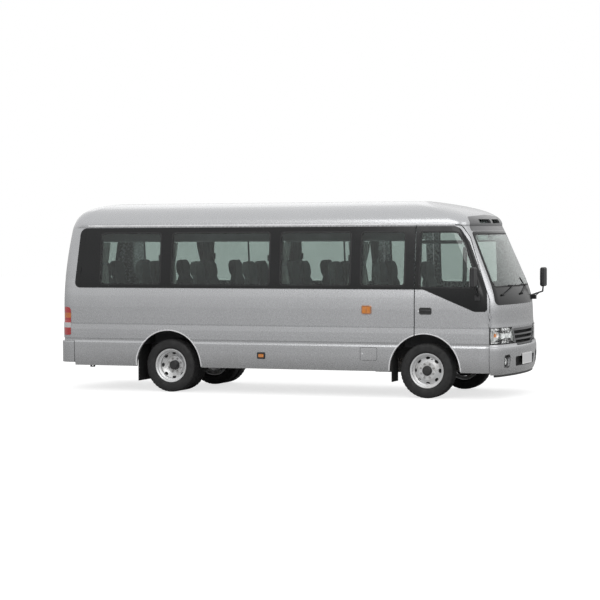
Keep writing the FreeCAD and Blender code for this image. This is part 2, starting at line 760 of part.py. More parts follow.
def make_header():
    """The dark panel above the windscreen with two side-by-side air slots."""
    length = mm("air_slot_length")
    bottom = mm("air_slot_bottom")
    slots = [front_prism(rectangle(low, low + length, bottom, bottom + mm("air_slot_height"), 10), 2400, FAR)
             for low in (-length - mm("air_slot_edge"), mm("air_slot_edge"))]
    panel = shell.common(front_prism(header_outline(mm("seam")), 2400, FAR))
    formed("front_header", panel.cut(slots))


def make_driver_door():
    """The driver's door over the front wheel, with its black band and clear pane."""
    region = side_prism(door_outline(0), -HALF, -600)
    door = shell.common(region)
    trim = top_layer.common(side_prism(door_trim_outline(), -HALF, -600))
    pane = side_prism(door_glass_outline(), -HALF, -600)
    opening = side_prism([(2164, 1506, 26), (2985, 1506, 26), (2780, 2075, 110), (2680, 2242, 100), (2164, 2242, 26)],
                         -HALF, -600)
    handle = side_prism(rectangle(2166, 2335, 1140, 1225, 18), -HALF, -mm("body_half_width") + 22)
    grip = block(2160, 2341, -mm("body_half_width"), -mm("body_half_width") + 24, 1168, 1202)
    fixed, moving, for_fixed, for_moving = door_hinges()
    door = door.cut([trim, opening, handle] + for_fixed + ARCHES)
    door = door.multiFuse([grip.common(outer)] + moving)
    formed("driver_door", door)
    formed("driver_door_trim", trim.common(region).cut(pane))
    formed("driver_door_glass", top_layer.common(pane))


def make_entry_door():
    """The passenger door behind the left front wheel, with its two panes."""
    region = side_prism(entry_outline(0), 600, HALF)
    rear = mm("entry_front_x") - mm("entry_width") + 80
    front = mm("entry_front_x") - 80
    lap = mm("frame_lap")
    rows = ((mm("glass_bottom") - 150, mm("entry_top") - 90), (560, 1180))
    panes = [side_prism(rectangle(rear, front, low, high, 50), 600, HALF) for low, high in rows]
    holes_through = [side_prism(rectangle(rear + lap, front - lap, low + lap, high - lap, 36), 600, HALF)
                     for low, high in rows]
    pane_shape = top_layer.common(Part.makeCompound(panes))
    fixed, moving, for_fixed, for_moving = entry_hinges()
    door = shell.common(region).cut([pane_shape] + holes_through + for_fixed).multiFuse(moving)
    formed("passenger_door", door)
    formed("passenger_door_glass", pane_shape)


def make_flap():
    """The fuel flap, flush in its pocket."""
    gap = mm("flap_gap")
    outline = rectangle(mm("flap_rear_x") + gap, mm("flap_front_x") - gap, mm("flap_bottom") + gap,
                        mm("flap_top") - gap, 15)
    face = -mm("skirt_half_width")
    fixed, moving, for_fixed, for_moving = flap_hinges()
    formed("fuel_flap", side_prism(outline, face, face + mm("flap_thickness")).cut(for_fixed).multiFuse(moving))


def make_fixed_glass():
    """Bands and panes of both sides and the tail, and the windscreen's border."""
    right_band, right_panes = make_right_side()
    left_band, left_panes = make_left_side()
    rear_pane, rear_bands = make_rear_panel()
    border = make_screen()
    formed("window_bands", together([right_band, left_band, rear_bands, border]))
    formed("fixed_windows", together([right_panes, left_panes, rear_pane]))


def bumper_section(z, half, front, rear, inset):
    """A bumper's plan outline, round the nose or the tail."""
    return plan_wire(z, half - inset, front - inset, rear + inset, 280 - inset, 240 - inset,
                     mm("nose_arc_radius") - inset, mm("tail_arc_radius") - inset)


def bumper_form(inset, grow=0.0):
    """The front bumper's closed form, moved in by the inset and grown at its top and bottom."""
    half = mm("skirt_half_width") + 4
    front = mm("nose_x") + mm("bumper_stand_off")
    low = mm("bumper_bottom")
    high = mm("bumper_top")
    levels = [(low - grow, -46), (low + 90, -12), (low + 200, 0), (high - 60, 0), (high + grow, -14)]
    return Part.makeLoft([bumper_section(z, half + out * 0.3, front + out, -mm("tail_x"), inset)
                          for z, out in levels], True, False)


def intake_prism(grow=0.0):
    """The lower air intake in front view, grown by a margin."""
    half = mm("intake_half") + grow
    low = mm("intake_bottom") - grow
    high = mm("intake_top") + grow
    outline = [(40 - half, low, 20), (half - 40, low, 20), (half, high, 30), (-half, high, 30)]
    return front_prism(outline, NOSE_REACH, FAR)


def fog_prisms(grow=0.0):
    """The two fog lamp recesses in front view, grown by a margin."""
    low = mm("fog_bottom") - grow
    high = mm("fog_top") + grow
    near = mm("fog_inner") - grow
    far = mm("fog_outer") + grow
    outline = [(-far, low, 40), (-near - 22, low, 40), (-near, high, 30), (-far, high, 40)]
    right = front_prism(outline, NOSE_REACH, FAR)
    return [right, mirrored(right)]


def make_bumpers():
    """The deep front bumper with its intake and lamp recesses, and the rear one, which wraps round the sides."""
    front = bumper_form(0).cut(bumper_form(mm("bumper_wall"), 1))
    front = front.common(block(mm("door_front_x") + mm("panel_gap"), FAR, -HALF, HALF, 0, 2000))
    front = front.cut([grille_prism(-mm("panel_gap") / 2), intake_prism()] + fog_prisms())
    rear = rear_bumper_form(0).cut(rear_bumper_form(mm("bumper_wall")))
    rear = rear.common(block(-FAR, mm("bumper_front_x"), -HALF, HALF, 0, 2000))
    formed("bumpers", together([front, rear]))


def rear_bumper_form(inset):
    """The rear bumper's closed form, moved in by the inset."""
    low = mm("rear_bumper_bottom")
    rear = -mm("tail_x") - mm("rear_bumper_stand_off")
    face = Part.Face(bumper_section(low, mm("skirt_half_width") + 2, mm("nose_x"), rear, inset))
    return face.extrude(V(0, 0, mm("rear_bumper_top") - low))


def make_bumper_grilles():
    """The black panels behind the intake and lamp recesses, and the lip under the bumper."""
    layer = bumper_form(mm("bumper_wall") + mm("seam")).cut(bumper_form(mm("bumper_wall") + 5, 1))
    panels = layer.common(Part.makeCompound([intake_prism(18)] + fog_prisms(18)))
    low = mm("bumper_bottom") - mm("seam")
    half = mm("skirt_half_width") - 10
    front = mm("nose_x") + mm("bumper_stand_off") - 46
    ring = Part.Face(bumper_section(low, half, front, -mm("tail_x"), 8))
    ring = ring.cut(Part.Face(bumper_section(low, half, front, -mm("tail_x"), 22)))
    lip = ring.extrude(V(0, 0, -mm("lip_height"))).common(block(3170, FAR, -HALF, HALF, 0, 2000))
    formed("bumper_grilles", together([panels, lip]))


def make_number_plates():
    """Plain plates on pads, at the front across the intake and at the rear on the bumper."""
    half = mm("plate_half")
    low = mm("plate_bottom")
    high = low + mm("plate_height")
    face = mm("nose_x") + mm("bumper_stand_off") + 8
    front = block(face - 6, face, -half, half, low, high)
    pads = [block(face - 40, face - 5, y - 25, y + 25, high - 22, high - 4) for y in (-150, 150)]
    front = front.multiFuse(pads).cut(bumper_form(0))
    low = mm("rear_plate_bottom")
    high = low + mm("plate_height")
    face = -mm("tail_x") - mm("rear_bumper_stand_off") - 8
    rear = block(face, face + 6, -half, half, low, high)
    pads = [block(face + 5, face + 40, y - 25, y + 25, z - 12, z + 12)
            for y in (-150, 150) for z in (low + 25, high - 25)]
    rear = rear.multiFuse(pads).cut(rear_bumper_form(0))
    formed("number_plates", together([front, rear]))


def make_front_lamps():
    """Headlamp units between grille and corners, and fog lamps in their recesses."""
    lamps = [shell.common(lamp_prism(side, mm("seam"))) for side in (-1, 1)]
    layer = bumper_form(12).cut(bumper_form(mm("bumper_wall")))
    height = (mm("fog_bottom") + mm("fog_top")) / 2
    for side in (-1, 1):
        bowl = Part.makeCylinder(mm("fog_radius"), FAR - NOSE_REACH, V(NOSE_REACH, side * mm("fog_lamp_y"), height),
                                 V(1, 0, 0))
        lamps.append(layer.common(bowl))
    formed("front_lamps", together(lamps))


def make_grille():
    """A frame with thick horizontal bars between the headlamps."""
    whole = shell.common(grille_prism(mm("seam")))
    rows = 3
    pitch = (mm("grille_top") - mm("grille_bottom") - 34) / rows
    slots = []
    for count in range(rows):
        low = mm("grille_bottom") + 24 + count * pitch
        high = low + pitch - 24
        narrow = grille_half_at(low) - 30
        wide = grille_half_at(high) - 30
        slots.append(front_prism([(-narrow, low, 8), (narrow, low, 8), (wide, high, 8), (-wide, high, 8)],
                                 NOSE_REACH, FAR))
    formed("grille", whole.cut(slots))


# Floor and chassis


def engine_cover_corners():
    """The engine cover's rear and front ends, half width and top."""
    room = 2 * mm("wheel_box_wall")
    rear = mm("front_axle_x") - mm("engine_reach") - room
    return (rear, rear + mm("engine_length") + 2 * room, mm("engine_width") / 2 + room,
            mm("engine_bottom") + mm("engine_height") + room)


def make_floor():
    """The flat floor board, open at the wheel boxes, the engine cover and the step well."""
    top = mm("floor_top")
    low = top - mm("floor_thickness")
    seam = mm("seam")
    board = Part.Face(lower_section(low, mm("groove_half_width"), mm("wall") + seam))
    side = mm("wheel_box_side") - seam
    reach = mm("wheel_box_reach") + seam
    cuts = []
    for x in (mm("front_axle_x"), REAR_AXLE_X):
        for low_y, high_y in ((-HALF, -side), (side, HALF)):
            cuts.append(block(x - reach, x + reach, low_y, high_y, low - 1, top + 1))
    rear = mm("entry_front_x") - mm("entry_width")
    cuts.append(block(rear, mm("front_axle_x") - reach + 1, mm("step_side") + mm("wheel_box_wall"), HALF,
                      low - 1, top + 1))
    rear_end, front_end, half, _ = engine_cover_corners()
    cuts.append(block(rear_end - seam, front_end + seam, -half - seam, half + seam, low - 1, top + 1))
    clear = mm("wall") + 6
    cuts.append(block(mm("door_rear_x") - 20, FAR, -HALF, clear - mm("groove_half_width"), low - 1, 1000))
    cuts.append(block(rear - 20, mm("entry_front_x") + 20, mm("groove_half_width") - clear, HALF, 0, 1000))
    cuts.append(hinge_room())
    formed("floor", board.extrude(V(0, 0, mm("floor_thickness"))).cut(cuts))


def make_wheel_boxes():
    """The boxes over the wheels, the engine cover and the step well, built up of plain boards."""
    wall = mm("wheel_box_wall")
    seam = mm("seam")
    low = mm("floor_top") - mm("floor_thickness")
    clear_edge = mm("groove_half_width") - mm("wall") - 6
    boards = []

    side = mm("wheel_box_side")
    inner = side + wall + seam
    reach = mm("wheel_box_reach")
    room = mm("wheel_box_room")
    lid = mm("wheel_box_top") - wall
    for x, edge in ((mm("front_axle_x"), clear_edge), (REAR_AXLE_X, mm("groove_half_width") - mm("wall") - seam)):
        for sign in (-1, 1):
            for x0, x1, near, far, z0, z1 in (
                    (x - reach, x + reach, side, side + wall, low, lid + wall),
                    (x - reach, x + reach, inner, edge, lid, lid + wall),
                    (x - reach, x - room, inner, edge, low, lid - seam),
                    (x + room, x + reach, inner, edge, low, lid - seam)):
                low_y, high_y = sorted((sign * near, sign * far))
                boards.append(block(x0, x1, low_y, high_y, z0, z1))

    rear, front, half, cover_top = engine_cover_corners()
    under = cover_top - wall - seam
    boards.append(block(rear, front, -half, half, cover_top - wall, cover_top))
    boards += [block(x, x + wall, -half, half, low, under) for x in (rear, front - wall)]
    boards += [block(rear + wall + seam, front - wall - seam, y, y + wall, low, under) for y in (-half, half - wall)]

    rear = mm("entry_front_x") - mm("entry_width") - wall
    front = mm("entry_front_x")
    tread = mm("step_height")
    side = mm("step_side")
    riser = (tread + seam, low - seam)
    boards.append(block(rear, front, side, clear_edge, tread - wall, tread))
    boards.append(block(rear, front, side, side + wall, *riser))
    boards += [block(x, x + wall, side + wall + seam, clear_edge, *riser) for x in (rear, front - wall)]
    formed("wheel_boxes", together(boards))


def hinge_room():
    """The round space that the driver's door needs about its hinge line."""
    return Part.makeCylinder(mm("hinge_room"), 1500, V(mm("door_front_x") + mm("panel_gap") / 2, -996, 0))


def make_chassis():
    """Two box rails under the floor, cross members and the bumper irons."""
    length = cell("rail_front_x") - cell("rail_rear_x")
    low = cell("floor_top") - cell("floor_thickness") - cell("rail_height")
    pieces = []
    for side in (-1, 1):
        y = cell("rail_spacing") * side - cell("rail_width") / 2
        pieces.append(box("Rail", length, cell("rail_width"), cell("rail_height"), cell("rail_rear_x"), y, low))
        drop = (mm("rail_spacing") + mm("rail_width") / 2) ** 2 / (2 * mm("nose_arc_radius"))
        reach = cell("nose_x") + cell("bumper_stand_off") - cell("bumper_wall") - drop - 0.6 - cell("rail_front_x")
        pieces.append(box("FrontIron", reach, cell("rail_width"), 60, cell("rail_front_x"), y, low + 90))
        drop = (mm("rail_spacing") + mm("rail_width") / 2) ** 2 / (2 * mm("tail_arc_radius"))
        reach = cell("tail_x") + cell("rear_bumper_stand_off") - cell("bumper_wall") - drop - 0.6 + cell("rail_rear_x")
        pieces.append(box("RearIron", reach, cell("rail_width"), 60, cell("rail_rear_x") - reach, y, low + 90))
    for share in (0.03, 0.2, 0.42, 0.6, 0.7, 0.97):
        x = cell("rail_rear_x") + length * share
        pieces.append(box("Cross", cell("cross_member"), cell("rail_spacing") * 2, cell("rail_height") * 0.6,
                          x, -cell("rail_spacing"), low + 30))
    bores = []
    for name in ("front_eye_x", "rear_eye_x"):
        y = -cell("rail_spacing") - cell("eye_plate") / 2
        foot = cell("eye_height") - cell("eye_length") / 2
        pieces.append(box("EyePlate", cell("eye_length"), cell("eye_plate"), low - foot + 30, cell(name), y, foot))
        bores.append(rod("EyeBore", cell("eye_radius"), cell("eye_plate") + 4, cell(name) + cell("eye_length") / 2,
                         y - 2, cell("eye_height"), "y"))
    keep(cut("chassis_frame", fused("Members", pieces), fused("EyeBores", bores)), "chassis_frame")


def spring_shape(x, y, eye_z, seat_z):
    """A leaf spring: a shallow arc band between two eyes."""
    reach = mm("spring_reach")
    thick = mm("spring_thickness")
    wire = Part.Wire([
        Part.Arc(V(x - reach, y, eye_z), V(x, y, seat_z), V(x + reach, y, eye_z)).toShape(),
        Part.makeLine(V(x + reach, y, eye_z), V(x + reach, y, eye_z + thick)),
        Part.Arc(V(x + reach, y, eye_z + thick), V(x, y, seat_z + thick), V(x - reach, y, eye_z + thick)).toShape(),
        Part.makeLine(V(x - reach, y, eye_z + thick), V(x - reach, y, eye_z)),
    ])
    band = Part.Face(wire).extrude(V(0, mm("spring_width"), 0))
    rail_low = mm("floor_top") - mm("floor_thickness") - mm("rail_height")
    for end in (-1, 1):
        hanger = block(x + end * reach - 30, x + end * reach + 30, y, y + mm("spring_width"), eye_z, rail_low)
        band = band.fuse(hanger)
    return band


def front_axle():
    """The drop beam with its king pin eyes and leaf springs."""
    x = mm("front_axle_x")
    half = mm("king_pin_track") / 2
    depth = mm("beam_width")
    high = mm("beam_height")
    centre = mm("beam_centre")
    drop = [(-half + 30, AXLE_Z - 35, 0), (-half + 120, centre - high / 2, 60), (half - 120, centre - high / 2, 60),
            (half - 30, AXLE_Z - 35, 0), (half - 30, AXLE_Z + 35, 0), (half - 140, centre + high / 2, 60),
            (140 - half, centre + high / 2, 60), (30 - half, AXLE_Z + 35, 0)]
    beam = front_prism(drop, x - depth / 2, x + depth / 2)
    eyes = []
    pins = []
    for side in (-1, 1):
        eyes.append(Part.makeCylinder(40, 80, V(x, side * half, AXLE_Z - 40)))
        pins.append(Part.makeCylinder(mm("king_pin_radius") + mm("pin_clearance"), 200,
                                      V(x, side * half, AXLE_Z - 100)))
    springs = [spring_shape(x, side * mm("rail_spacing") - mm("spring_width") / 2, 440, centre + high / 2 - 6)
               for side in (-1, 1)]
    return beam.multiFuse(eyes + springs).cut(pins)


def make_knuckle(label, side):
    """A steering knuckle: two lugs round the king pin and the spindle."""
    x = mm("front_axle_x")
    half = mm("king_pin_track") / 2
    pin = Part.makeCylinder(mm("king_pin_radius"), 190, V(x, side * half, AXLE_Z - 95))
    gap = 46
    lugs = [Part.makeCylinder(38, 44, V(x, side * half, AXLE_Z + gap)),
            Part.makeCylinder(38, 44, V(x, side * half, AXLE_Z - gap - 44))]
    low, high = sorted((side * (half + 46), side * (half + 66)))
    plate = block(x - 40, x + 40, low, high, AXLE_Z - gap - 44, AXLE_Z + gap + 44)
    low, high = sorted((side * half, side * (half + 60)))
    bridges = [block(x - 30, x + 30, low, high, AXLE_Z + gap, AXLE_Z + gap + 44),
               block(x - 30, x + 30, low, high, AXLE_Z - gap - 44, AXLE_Z - gap)]
    spindle = Part.makeCylinder(mm("spindle_radius"), mm("spindle_length"), V(x, side * (half + 60), AXLE_Z),
                                V(0, side, 0))
    formed(label, pin.multiFuse(lugs + [plate, spindle] + bridges))


def rear_axle():
    """The live rear axle with differential, springs and propeller shaft."""
    x = REAR_AXLE_X
    half = mm("rear_track") / 2 - 140
    tube = Part.makeCylinder(mm("axle_tube_radius"), 2 * half, V(x, -half, AXLE_Z), V(0, 1, 0))
    diff = Part.makeSphere(mm("diff_radius"), V(x, 0, AXLE_Z))
    nose = Part.makeCone(95, 50, 210, V(x + 90, 0, AXLE_Z), V(1, 0, 0))
    shaft_end = mm("front_axle_x") - 1010
    shaft = Part.makeCylinder(38, shaft_end - x - 250, V(x + 250, 0, AXLE_Z), V(1, 0, 0))
    springs = [spring_shape(x, side * mm("rail_spacing") - mm("spring_width") / 2, 446,
                            AXLE_Z + mm("axle_tube_radius") - 10) for side in (-1, 1)]
    return tube.multiFuse([diff, nose, shaft] + springs)


def make_driveline():
    """The engine with its gearbox and mounts, the fuel tank and the exhaust."""
    front = cell("front_axle_x")
    width = cell("engine_width")
    engine = box("EngineBlock", cell("engine_length"), width, cell("engine_height"), front - cell("engine_reach"),
                 -width / 2, cell("engine_bottom"))
    gearbox = box("Gearbox", 540, 300, 240, front - cell("engine_reach") - 530, -150, 290)
    inner_span = cell("rail_spacing") * 2 - cell("rail_width")
    mount = box("EngineMount", 80, inner_span, 40, front - 150, -inner_span / 2, 530)
    keep(fused("engine_block", [engine, gearbox, mount]), "engine_block")
    outside = mm("rail_spacing") + mm("rail_width") / 2
    tank = block(-250, 750, -950, -outside - 30, 390, 650)
    straps = [block(x, x + 40, -outside - 45, -outside, 530, 630) for x in (-100, 560)]
    formed("fuel_tank", tank.makeFillet(40, tank.Edges).multiFuse(straps))
    formed("exhaust", exhaust_shape(outside))


def exhaust_shape(outside):
    """The muffler beside the left rail with its pipes and hangers."""
    muffler = Part.makeCylinder(105, 750, V(-700, 600, 470), V(1, 0, 0))
    front_pipe = Part.makeCylinder(30, 500, V(50, 600, 470), V(1, 0, 0))
    hangers = [block(x, x + 30, outside, outside + 95, 480, 540) for x in (-600, -100)]
    return muffler.multiFuse([front_pipe] + hangers)


# Wheels


def sketch_on(body, name, role):
    """A sketch on one of the body's own origin planes."""
    sketch = body.newObject("Sketcher::SketchObject", name)
    plane = [item for item in body.Origin.OriginFeatures if item.Role == role][0]
    sketch.AttachmentSupport = [(plane, "")]
    sketch.MapMode = "FlatFace"
    return sketch


def add_outline(sketch, points):
    """A closed outline whose every corner is tied to the sheet."""
    count = len(points)
    for index, (u, v) in enumerate(points):
        after = points[(index + 1) % count]
        sketch.addGeometry(Part.LineSegment(V(float(u), float(v), 0), V(float(after[0]), float(after[1]), 0)))
    for index in range(count):
        sketch.addConstraint(Sketcher.Constraint("Coincident", index, 2, (index + 1) % count, 1))
    for index, point in enumerate(points):
        for kind, size in zip(("DistanceX", "DistanceY"), point):
            number = sketch.addConstraint(Sketcher.Constraint(kind, -1, 1, index, 1, float(size)))
            if isinstance(size, Size):
                sketch.setExpression("Constraints[%d]" % number, size.formula)


def revolved(body, name, points):
    """Turn a (radius, outward) outline about the body's Y axis."""
    sketch = sketch_on(body, name + "Sketch", "XY_Plane")
    add_outline(sketch, points)
    turn = body.newObject("PartDesign::Revolution", name)
    turn.Profile = sketch
    turn.ReferenceAxis = (sketch, ["V_Axis"])
    turn.Angle = 360
    return turn


def wheel_placement(side, x, track_half):
    """The wheel's place, its outward side away from the vehicle."""
    turn = FreeCAD.Rotation(V(0, 0, 1), 180 if side < 0 else 0)
    return FreeCAD.Placement(V(x, side * track_half, AXLE_Z), turn)


def tyre_outline(shift):
    """A tyre's section: beads on the rim, full walls and a flat tread."""
    radius = cell("tyre_radius")
    flange = cell("flange_radius")
    bead = cell("bead_radius")
    half = cell("tyre_width") / 2
    tread = cell("tread_half")
    rim = cell("rim_half")
    wall = [(bead, rim - 19), (flange + 30, half - 6), (radius - 60, half), (radius - 18, half - 10), (radius, tread)]
    return [(u, v + shift) for u, v in wall] + [(u, -v + shift) for u, v in reversed(wall)]


def make_tyres(label, side, x, track, shifts):
    """The tyres of one wheel station, one or two side by side."""
    pieces = []
    for number, shift in enumerate(shifts):
        body = doc.addObject("PartDesign::Body", label + "Body")
        revolved(body, "Casing", tyre_outline(shift))
        pieces.append(body)
    if len(pieces) == 1:
        tyre = pieces[0]
    else:
        tyre = doc.addObject("Part::Compound", label)
        tyre.Links = pieces
    tyre.Placement = wheel_placement(side, x, track / 2)
    return keep(tyre, label)


def barrel_outline(shift):
    """The rim barrel: flanges, bead seats and drop centre."""
    flange = cell("flange_radius")
    bead = cell("bead_radius")
    well = cell("well_radius")
    half = cell("rim_half")
    wall = cell("rim_wall")
    outside = [(flange, -half), (flange, -half + 7), (bead, -half + 13), (bead, -half + 42), (well, -half + 58),
               (well, half - 58), (bead, half - 42), (bead, half - 13), (flange, half - 7), (flange, half)]
    inside = [(flange - wall, half), (bead - wall, half - 9), (bead - wall, half - 44), (well - wall, half - 60),
              (well - wall, -half + 60), (bead - wall, -half + 44), (bead - wall, -half + 9), (flange - wall, -half)]
    return [(u, v + shift) for u, v in outside + inside]


def disc_outline(shift, face, bulge):
    """The wheel disc: a flat nut face, a cone and a lip on the rim well, bulged outward or dished."""
    well = cell("well_radius") - cell("rim_wall") / 2
    nut_face = cell("nut_face_radius")
    wall = 11
    rows = [(well, bulge * 10 + shift), (well - 7, bulge * 20 + shift), (nut_face + 6, face - bulge * 5 + shift),
            (nut_face - 2, face + shift), (cell("hub_radius") - 20, face + shift)]
    return rows + [(u, v - wall) for u, v in reversed(rows)]


def make_rims(label, side, x, track, shifts, bulges):
    """The steel wheels of one station with hub, drum and nuts."""
    body = doc.addObject("PartDesign::Body", label)
    for number, (shift, bulge) in enumerate(zip(shifts, bulges)):
        face = 62 if bulge > 0 else -62
        revolved(body, "Barrel%d" % number, barrel_outline(shift))
        revolved(body, "Disc%d" % number, disc_outline(shift, face, bulge))
    doc.recompute()
    holes(body)
    hub_parts(body, shifts)
    doc.recompute()
    body.Placement = wheel_placement(side, x, track / 2)
    return keep(body, label)


def ring_of(body, feature, sketch, count):
    """Repeat a feature evenly round the axle."""
    pattern = body.newObject("PartDesign::PolarPattern", "Ring")
    pattern.Originals = [feature]
    pattern.Axis = (sketch, ["N_Axis"])
    pattern.Angle = 360
    pattern.Occurrences = count
    body.Tip = pattern
    return pattern


def holes(body):
    """Eight oval hand holes through the discs."""
    sketch = sketch_on(body, "HandHole", "XZ_Plane")
    circle = cell("hand_hole_circle")
    depth = cell("hand_hole_depth")
    length = cell("hand_hole_length")
    corners = [(1, 0.4), (0.55, 0.85), (0, 1), (-0.55, 0.85), (-1, 0.4)]
    corners += [(u, -v) for u, v in reversed(corners) if v < 1] + [(0, -1)]
    corners.sort(key=lambda point: math.atan2(point[1], point[0]))
    add_outline(sketch, [(circle + depth * u, length * v) for u, v in corners])
    pocket = body.newObject("PartDesign::Pocket", "HandHoles")
    pocket.Profile = sketch
    pocket.Type = "ThroughAll"
    pocket.Midplane = True
    doc.recompute()
    ring_of(body, pocket, sketch, 8)


def hub_parts(body, shifts):
    """The hub and brake drum, in one turning piece with the wheels."""
    hub = cell("hub_radius")
    cap = cell("hub_cap_radius")
    drum = cell("drum_radius")
    if len(shifts) == 1:
        bore = cell("spindle_radius") + cell("pin_clearance")
        seat = 62.0
        revolved(body, "Hub", [(bore, -18), (hub, -18), (hub, seat + 6), (cap, seat + 28), (0, seat + 34),
                               (0, seat + 12), (bore, seat + 12)])
    else:
        bore = cell("axle_tube_radius") + cell("pin_clearance")
        revolved(body, "Hub", [(bore, -190), (drum, -190), (drum, -20), (hub, -20), (hub, 86), (cap, 120), (0, 126),
                               (0, 40), (bore, 40)])
    doc.recompute()


def make_wheels():
    """Tyres and steel wheels of the four stations."""
    front = mm("front_axle_x")
    half = mm("dual_spacing") / 2
    for name, side in (("right", -1), ("left", 1)):
        make_tyres("tyre_front_" + name, side, front, mm("front_track"), [0.0])
        make_rims("wheel_front_" + name, side, front, mm("front_track"), [0.0], [1])
        make_tyres("tyre_rear_" + name, side, REAR_AXLE_X, mm("rear_track"), [half, -half])
        make_rims("wheel_rear_" + name, side, REAR_AXLE_X, mm("rear_track"), [half, -half], [-1, 1])


# Inside


def seat_shape(x, y, width, foot):
    """A high-backed seat facing forward: cushion and round-topped back over a leg."""
    back_top = mm("seat_back_top")
    cushion_top = mm("floor_top") + mm("seat_height")
    cushion = block(x, x + 440, y, y + width, cushion_top - 130, cushion_top)
    cushion = cushion.makeFillet(35, cushion.Edges)
    back = side_prism([(x - 20, cushion_top - 120, 30), (x + 90, cushion_top - 100, 30), (x - 52, back_top, 34),
                       (x - 142, back_top, 30)], y, y + width)
    front_view = front_prism([(y, cushion_top - 130, 0), (y + width, cushion_top - 130, 0),
                              (y + width, back_top + 1, mm("seat_round")), (y, back_top + 1, mm("seat_round"))],
                             x - 200, x + 200)
    leg = block(x + 60, x + 140, y + width / 2 - 30, y + width / 2 + 30, foot, cushion_top - 128)
    return cushion.multiFuse([back.common(front_view), leg])


def make_seats():
    """Seven rows with a pair on the right and a single seat on the left, and the driver's seat."""
    seats = []
    width = mm("seat_width")
    floor = mm("floor_top")
    outer_edge = mm("window_seat_edge")
    inner_edge = mm("aisle_seat_edge")
    behind_door = mm("entry_front_x") - mm("entry_width") - 500
    for name in ("one", "two", "three", "four", "five", "six", "seven"):
        x = mm("row_" + name)
        over_box = abs(x + 100 - REAR_AXLE_X) < mm("arch_radius") - 22
        window_foot = mm("wheel_box_top") if over_box else floor
        seats.append(seat_shape(x, -outer_edge, width, window_foot))
        seats.append(seat_shape(x, -inner_edge, width, floor))
        if x < behind_door:
            seats.append(seat_shape(x, outer_edge - width, width, window_foot))
    half = mm("driver_seat_half")
    seats.append(seat_shape(mm("driver_x"), mm("driver_y") - half, 2 * half, mm("wheel_box_top")))
    formed("seats", together(seats))


def column_axis():
    """The steering column's direction, up and back to the driver."""
    lean = math.radians(mm("column_lean"))
    return V(-math.sin(lean), 0, math.cos(lean))


def column_foot():
    """Where the steering column leaves the dashboard."""
    return V(mm("column_foot_x"), mm("driver_y"), mm("column_foot_height"))


def make_dashboard():
    """The dashboard under the windscreen with the steering column."""
    profile = [(2960, 1250, 30), (3190, 1250, 20), (3190, 900, 20), (3060, 900, 20), (2940, 1120, 30)]
    half = 920
    shape = side_prism(profile, -half, half)
    legs = block(3100, 3190, -half, half, mm("floor_top"), 910)
    column = Part.makeCylinder(26, mm("column_length"), column_foot(), column_axis())
    body = shape.multiFuse([legs, column]).cut(hinge_room())
    formed("dashboard", body.common(envelope(mm("wall") + 3)))


def make_steering_wheel():
    """The steering wheel on its leaned column."""
    rim = Part.makeTorus(mm("wheel_rim_radius"), mm("wheel_rim_tube"))
    hub = Part.makeCylinder(48, 40, V(0, 0, -20))
    spokes = []
    for angle in (20, 160, 270):
        spoke = block(0, mm("wheel_rim_radius"), -16, 16, -8, 8)
        spoke.rotate(V(), V(0, 0, 1), angle)
        spokes.append(spoke)
    shape = rim.multiFuse([hub] + spokes)
    centre = column_foot() + column_axis() * (mm("column_length") + 20 + mm("seam"))
    formed("steering_wheel", shape, FreeCAD.Placement(centre, FreeCAD.Rotation(V(0, 0, 1), column_axis())))


def make_curtains():
    """Gathered curtains tied at their middles beside the window posts."""
    inset = mm("wall") + mm("seam")
    layer = envelope(inset).cut(envelope(inset + mm("curtain_thickness")))
    low = mm("curtain_bottom")
    top = mm("curtain_top")
    tie = mm("curtain_tie")
    right = ((-2690, -2530), (-1665, -1465), (-75, 265), (1100, 1425))
    left = ((-1995, -1690), (-545, -290), (775, 905))
    prisms = []
    for bundles, low_y, high_y in ((right, -HALF, -600), (left, 600, HALF)):
        for rear, front in bundles:
            waist = (front - rear) * 0.2
            outline = [(rear, low, 8), (front, low, 8), (front - waist, tie, 60), (front, top, 8), (rear, top, 8),
                       (rear + waist, tie, 60)]
            prisms.append(side_prism(outline, low_y, high_y))
    formed("curtains", layer.common(Part.makeCompound(prisms)))


def make_ceiling_ducts():
    """Air ducts along both sides under the ceiling, each a board with an upright face."""
    low = mm("duct_bottom")
    board = mm("duct_board")
    inside = mm("duct_half")
    ducts = []
    for side, front in ((-1, mm("duct_right_front")), (1, mm("duct_left_front"))):
        near, far = sorted((side * inside, side * HALF))
        shelf = block(mm("duct_rear"), front, near, far, low, low + board)
        near, far = sorted((side * inside, side * (inside + board)))
        face = block(mm("duct_rear"), front, near, far, low, mm("roof_height"))
        ducts.append(shelf.fuse(face))
    formed("ceiling_ducts", envelope(mm("wall") + mm("seam")).common(Part.makeCompound(ducts)))


# Fittings outside


def bar(start, end, radius):
    """A round bar between two points."""
    return Part.makeCylinder(radius, (end - start).Length, start, end - start)


def make_mirrors():
    """The door mirror on the right and the arm mirror on the left."""
    right = mirror_head(2976, -1200, 1641)
    arm = bar(V(2990, -1010, 1362), V(2978, -1195, 1530), 12)
    foot = block(2945, 3025, -1046, -985, 1330, 1400)
    formed("mirror_right", right.multiFuse([arm, foot]).cut(outer))
    left = mirror_head(3285, 1200, 1595)
    rods = [bar(V(3195, 850, 1345), V(3268, 1215, 1390), 11), bar(V(3268, 1215, 1385), V(3280, 1205, 1480), 11),
            bar(V(3215, 900, 1310), V(3250, 1120, 1378), 7)]
    base = block(3180, 3262, 850, 910, 1290, 1350)
    formed("mirror_left", left.multiFuse(rods + [base]).cut(outer))


def mirror_head(x, y, z):
    """A rounded mirror housing about a centre."""
    depth = 60
    width = 190
    height = 272
    head = block(x - depth / 2, x + depth / 2, y - width / 2, y + width / 2, z - height / 2, z + height / 2)
    return head.makeFillet(26, head.Edges)


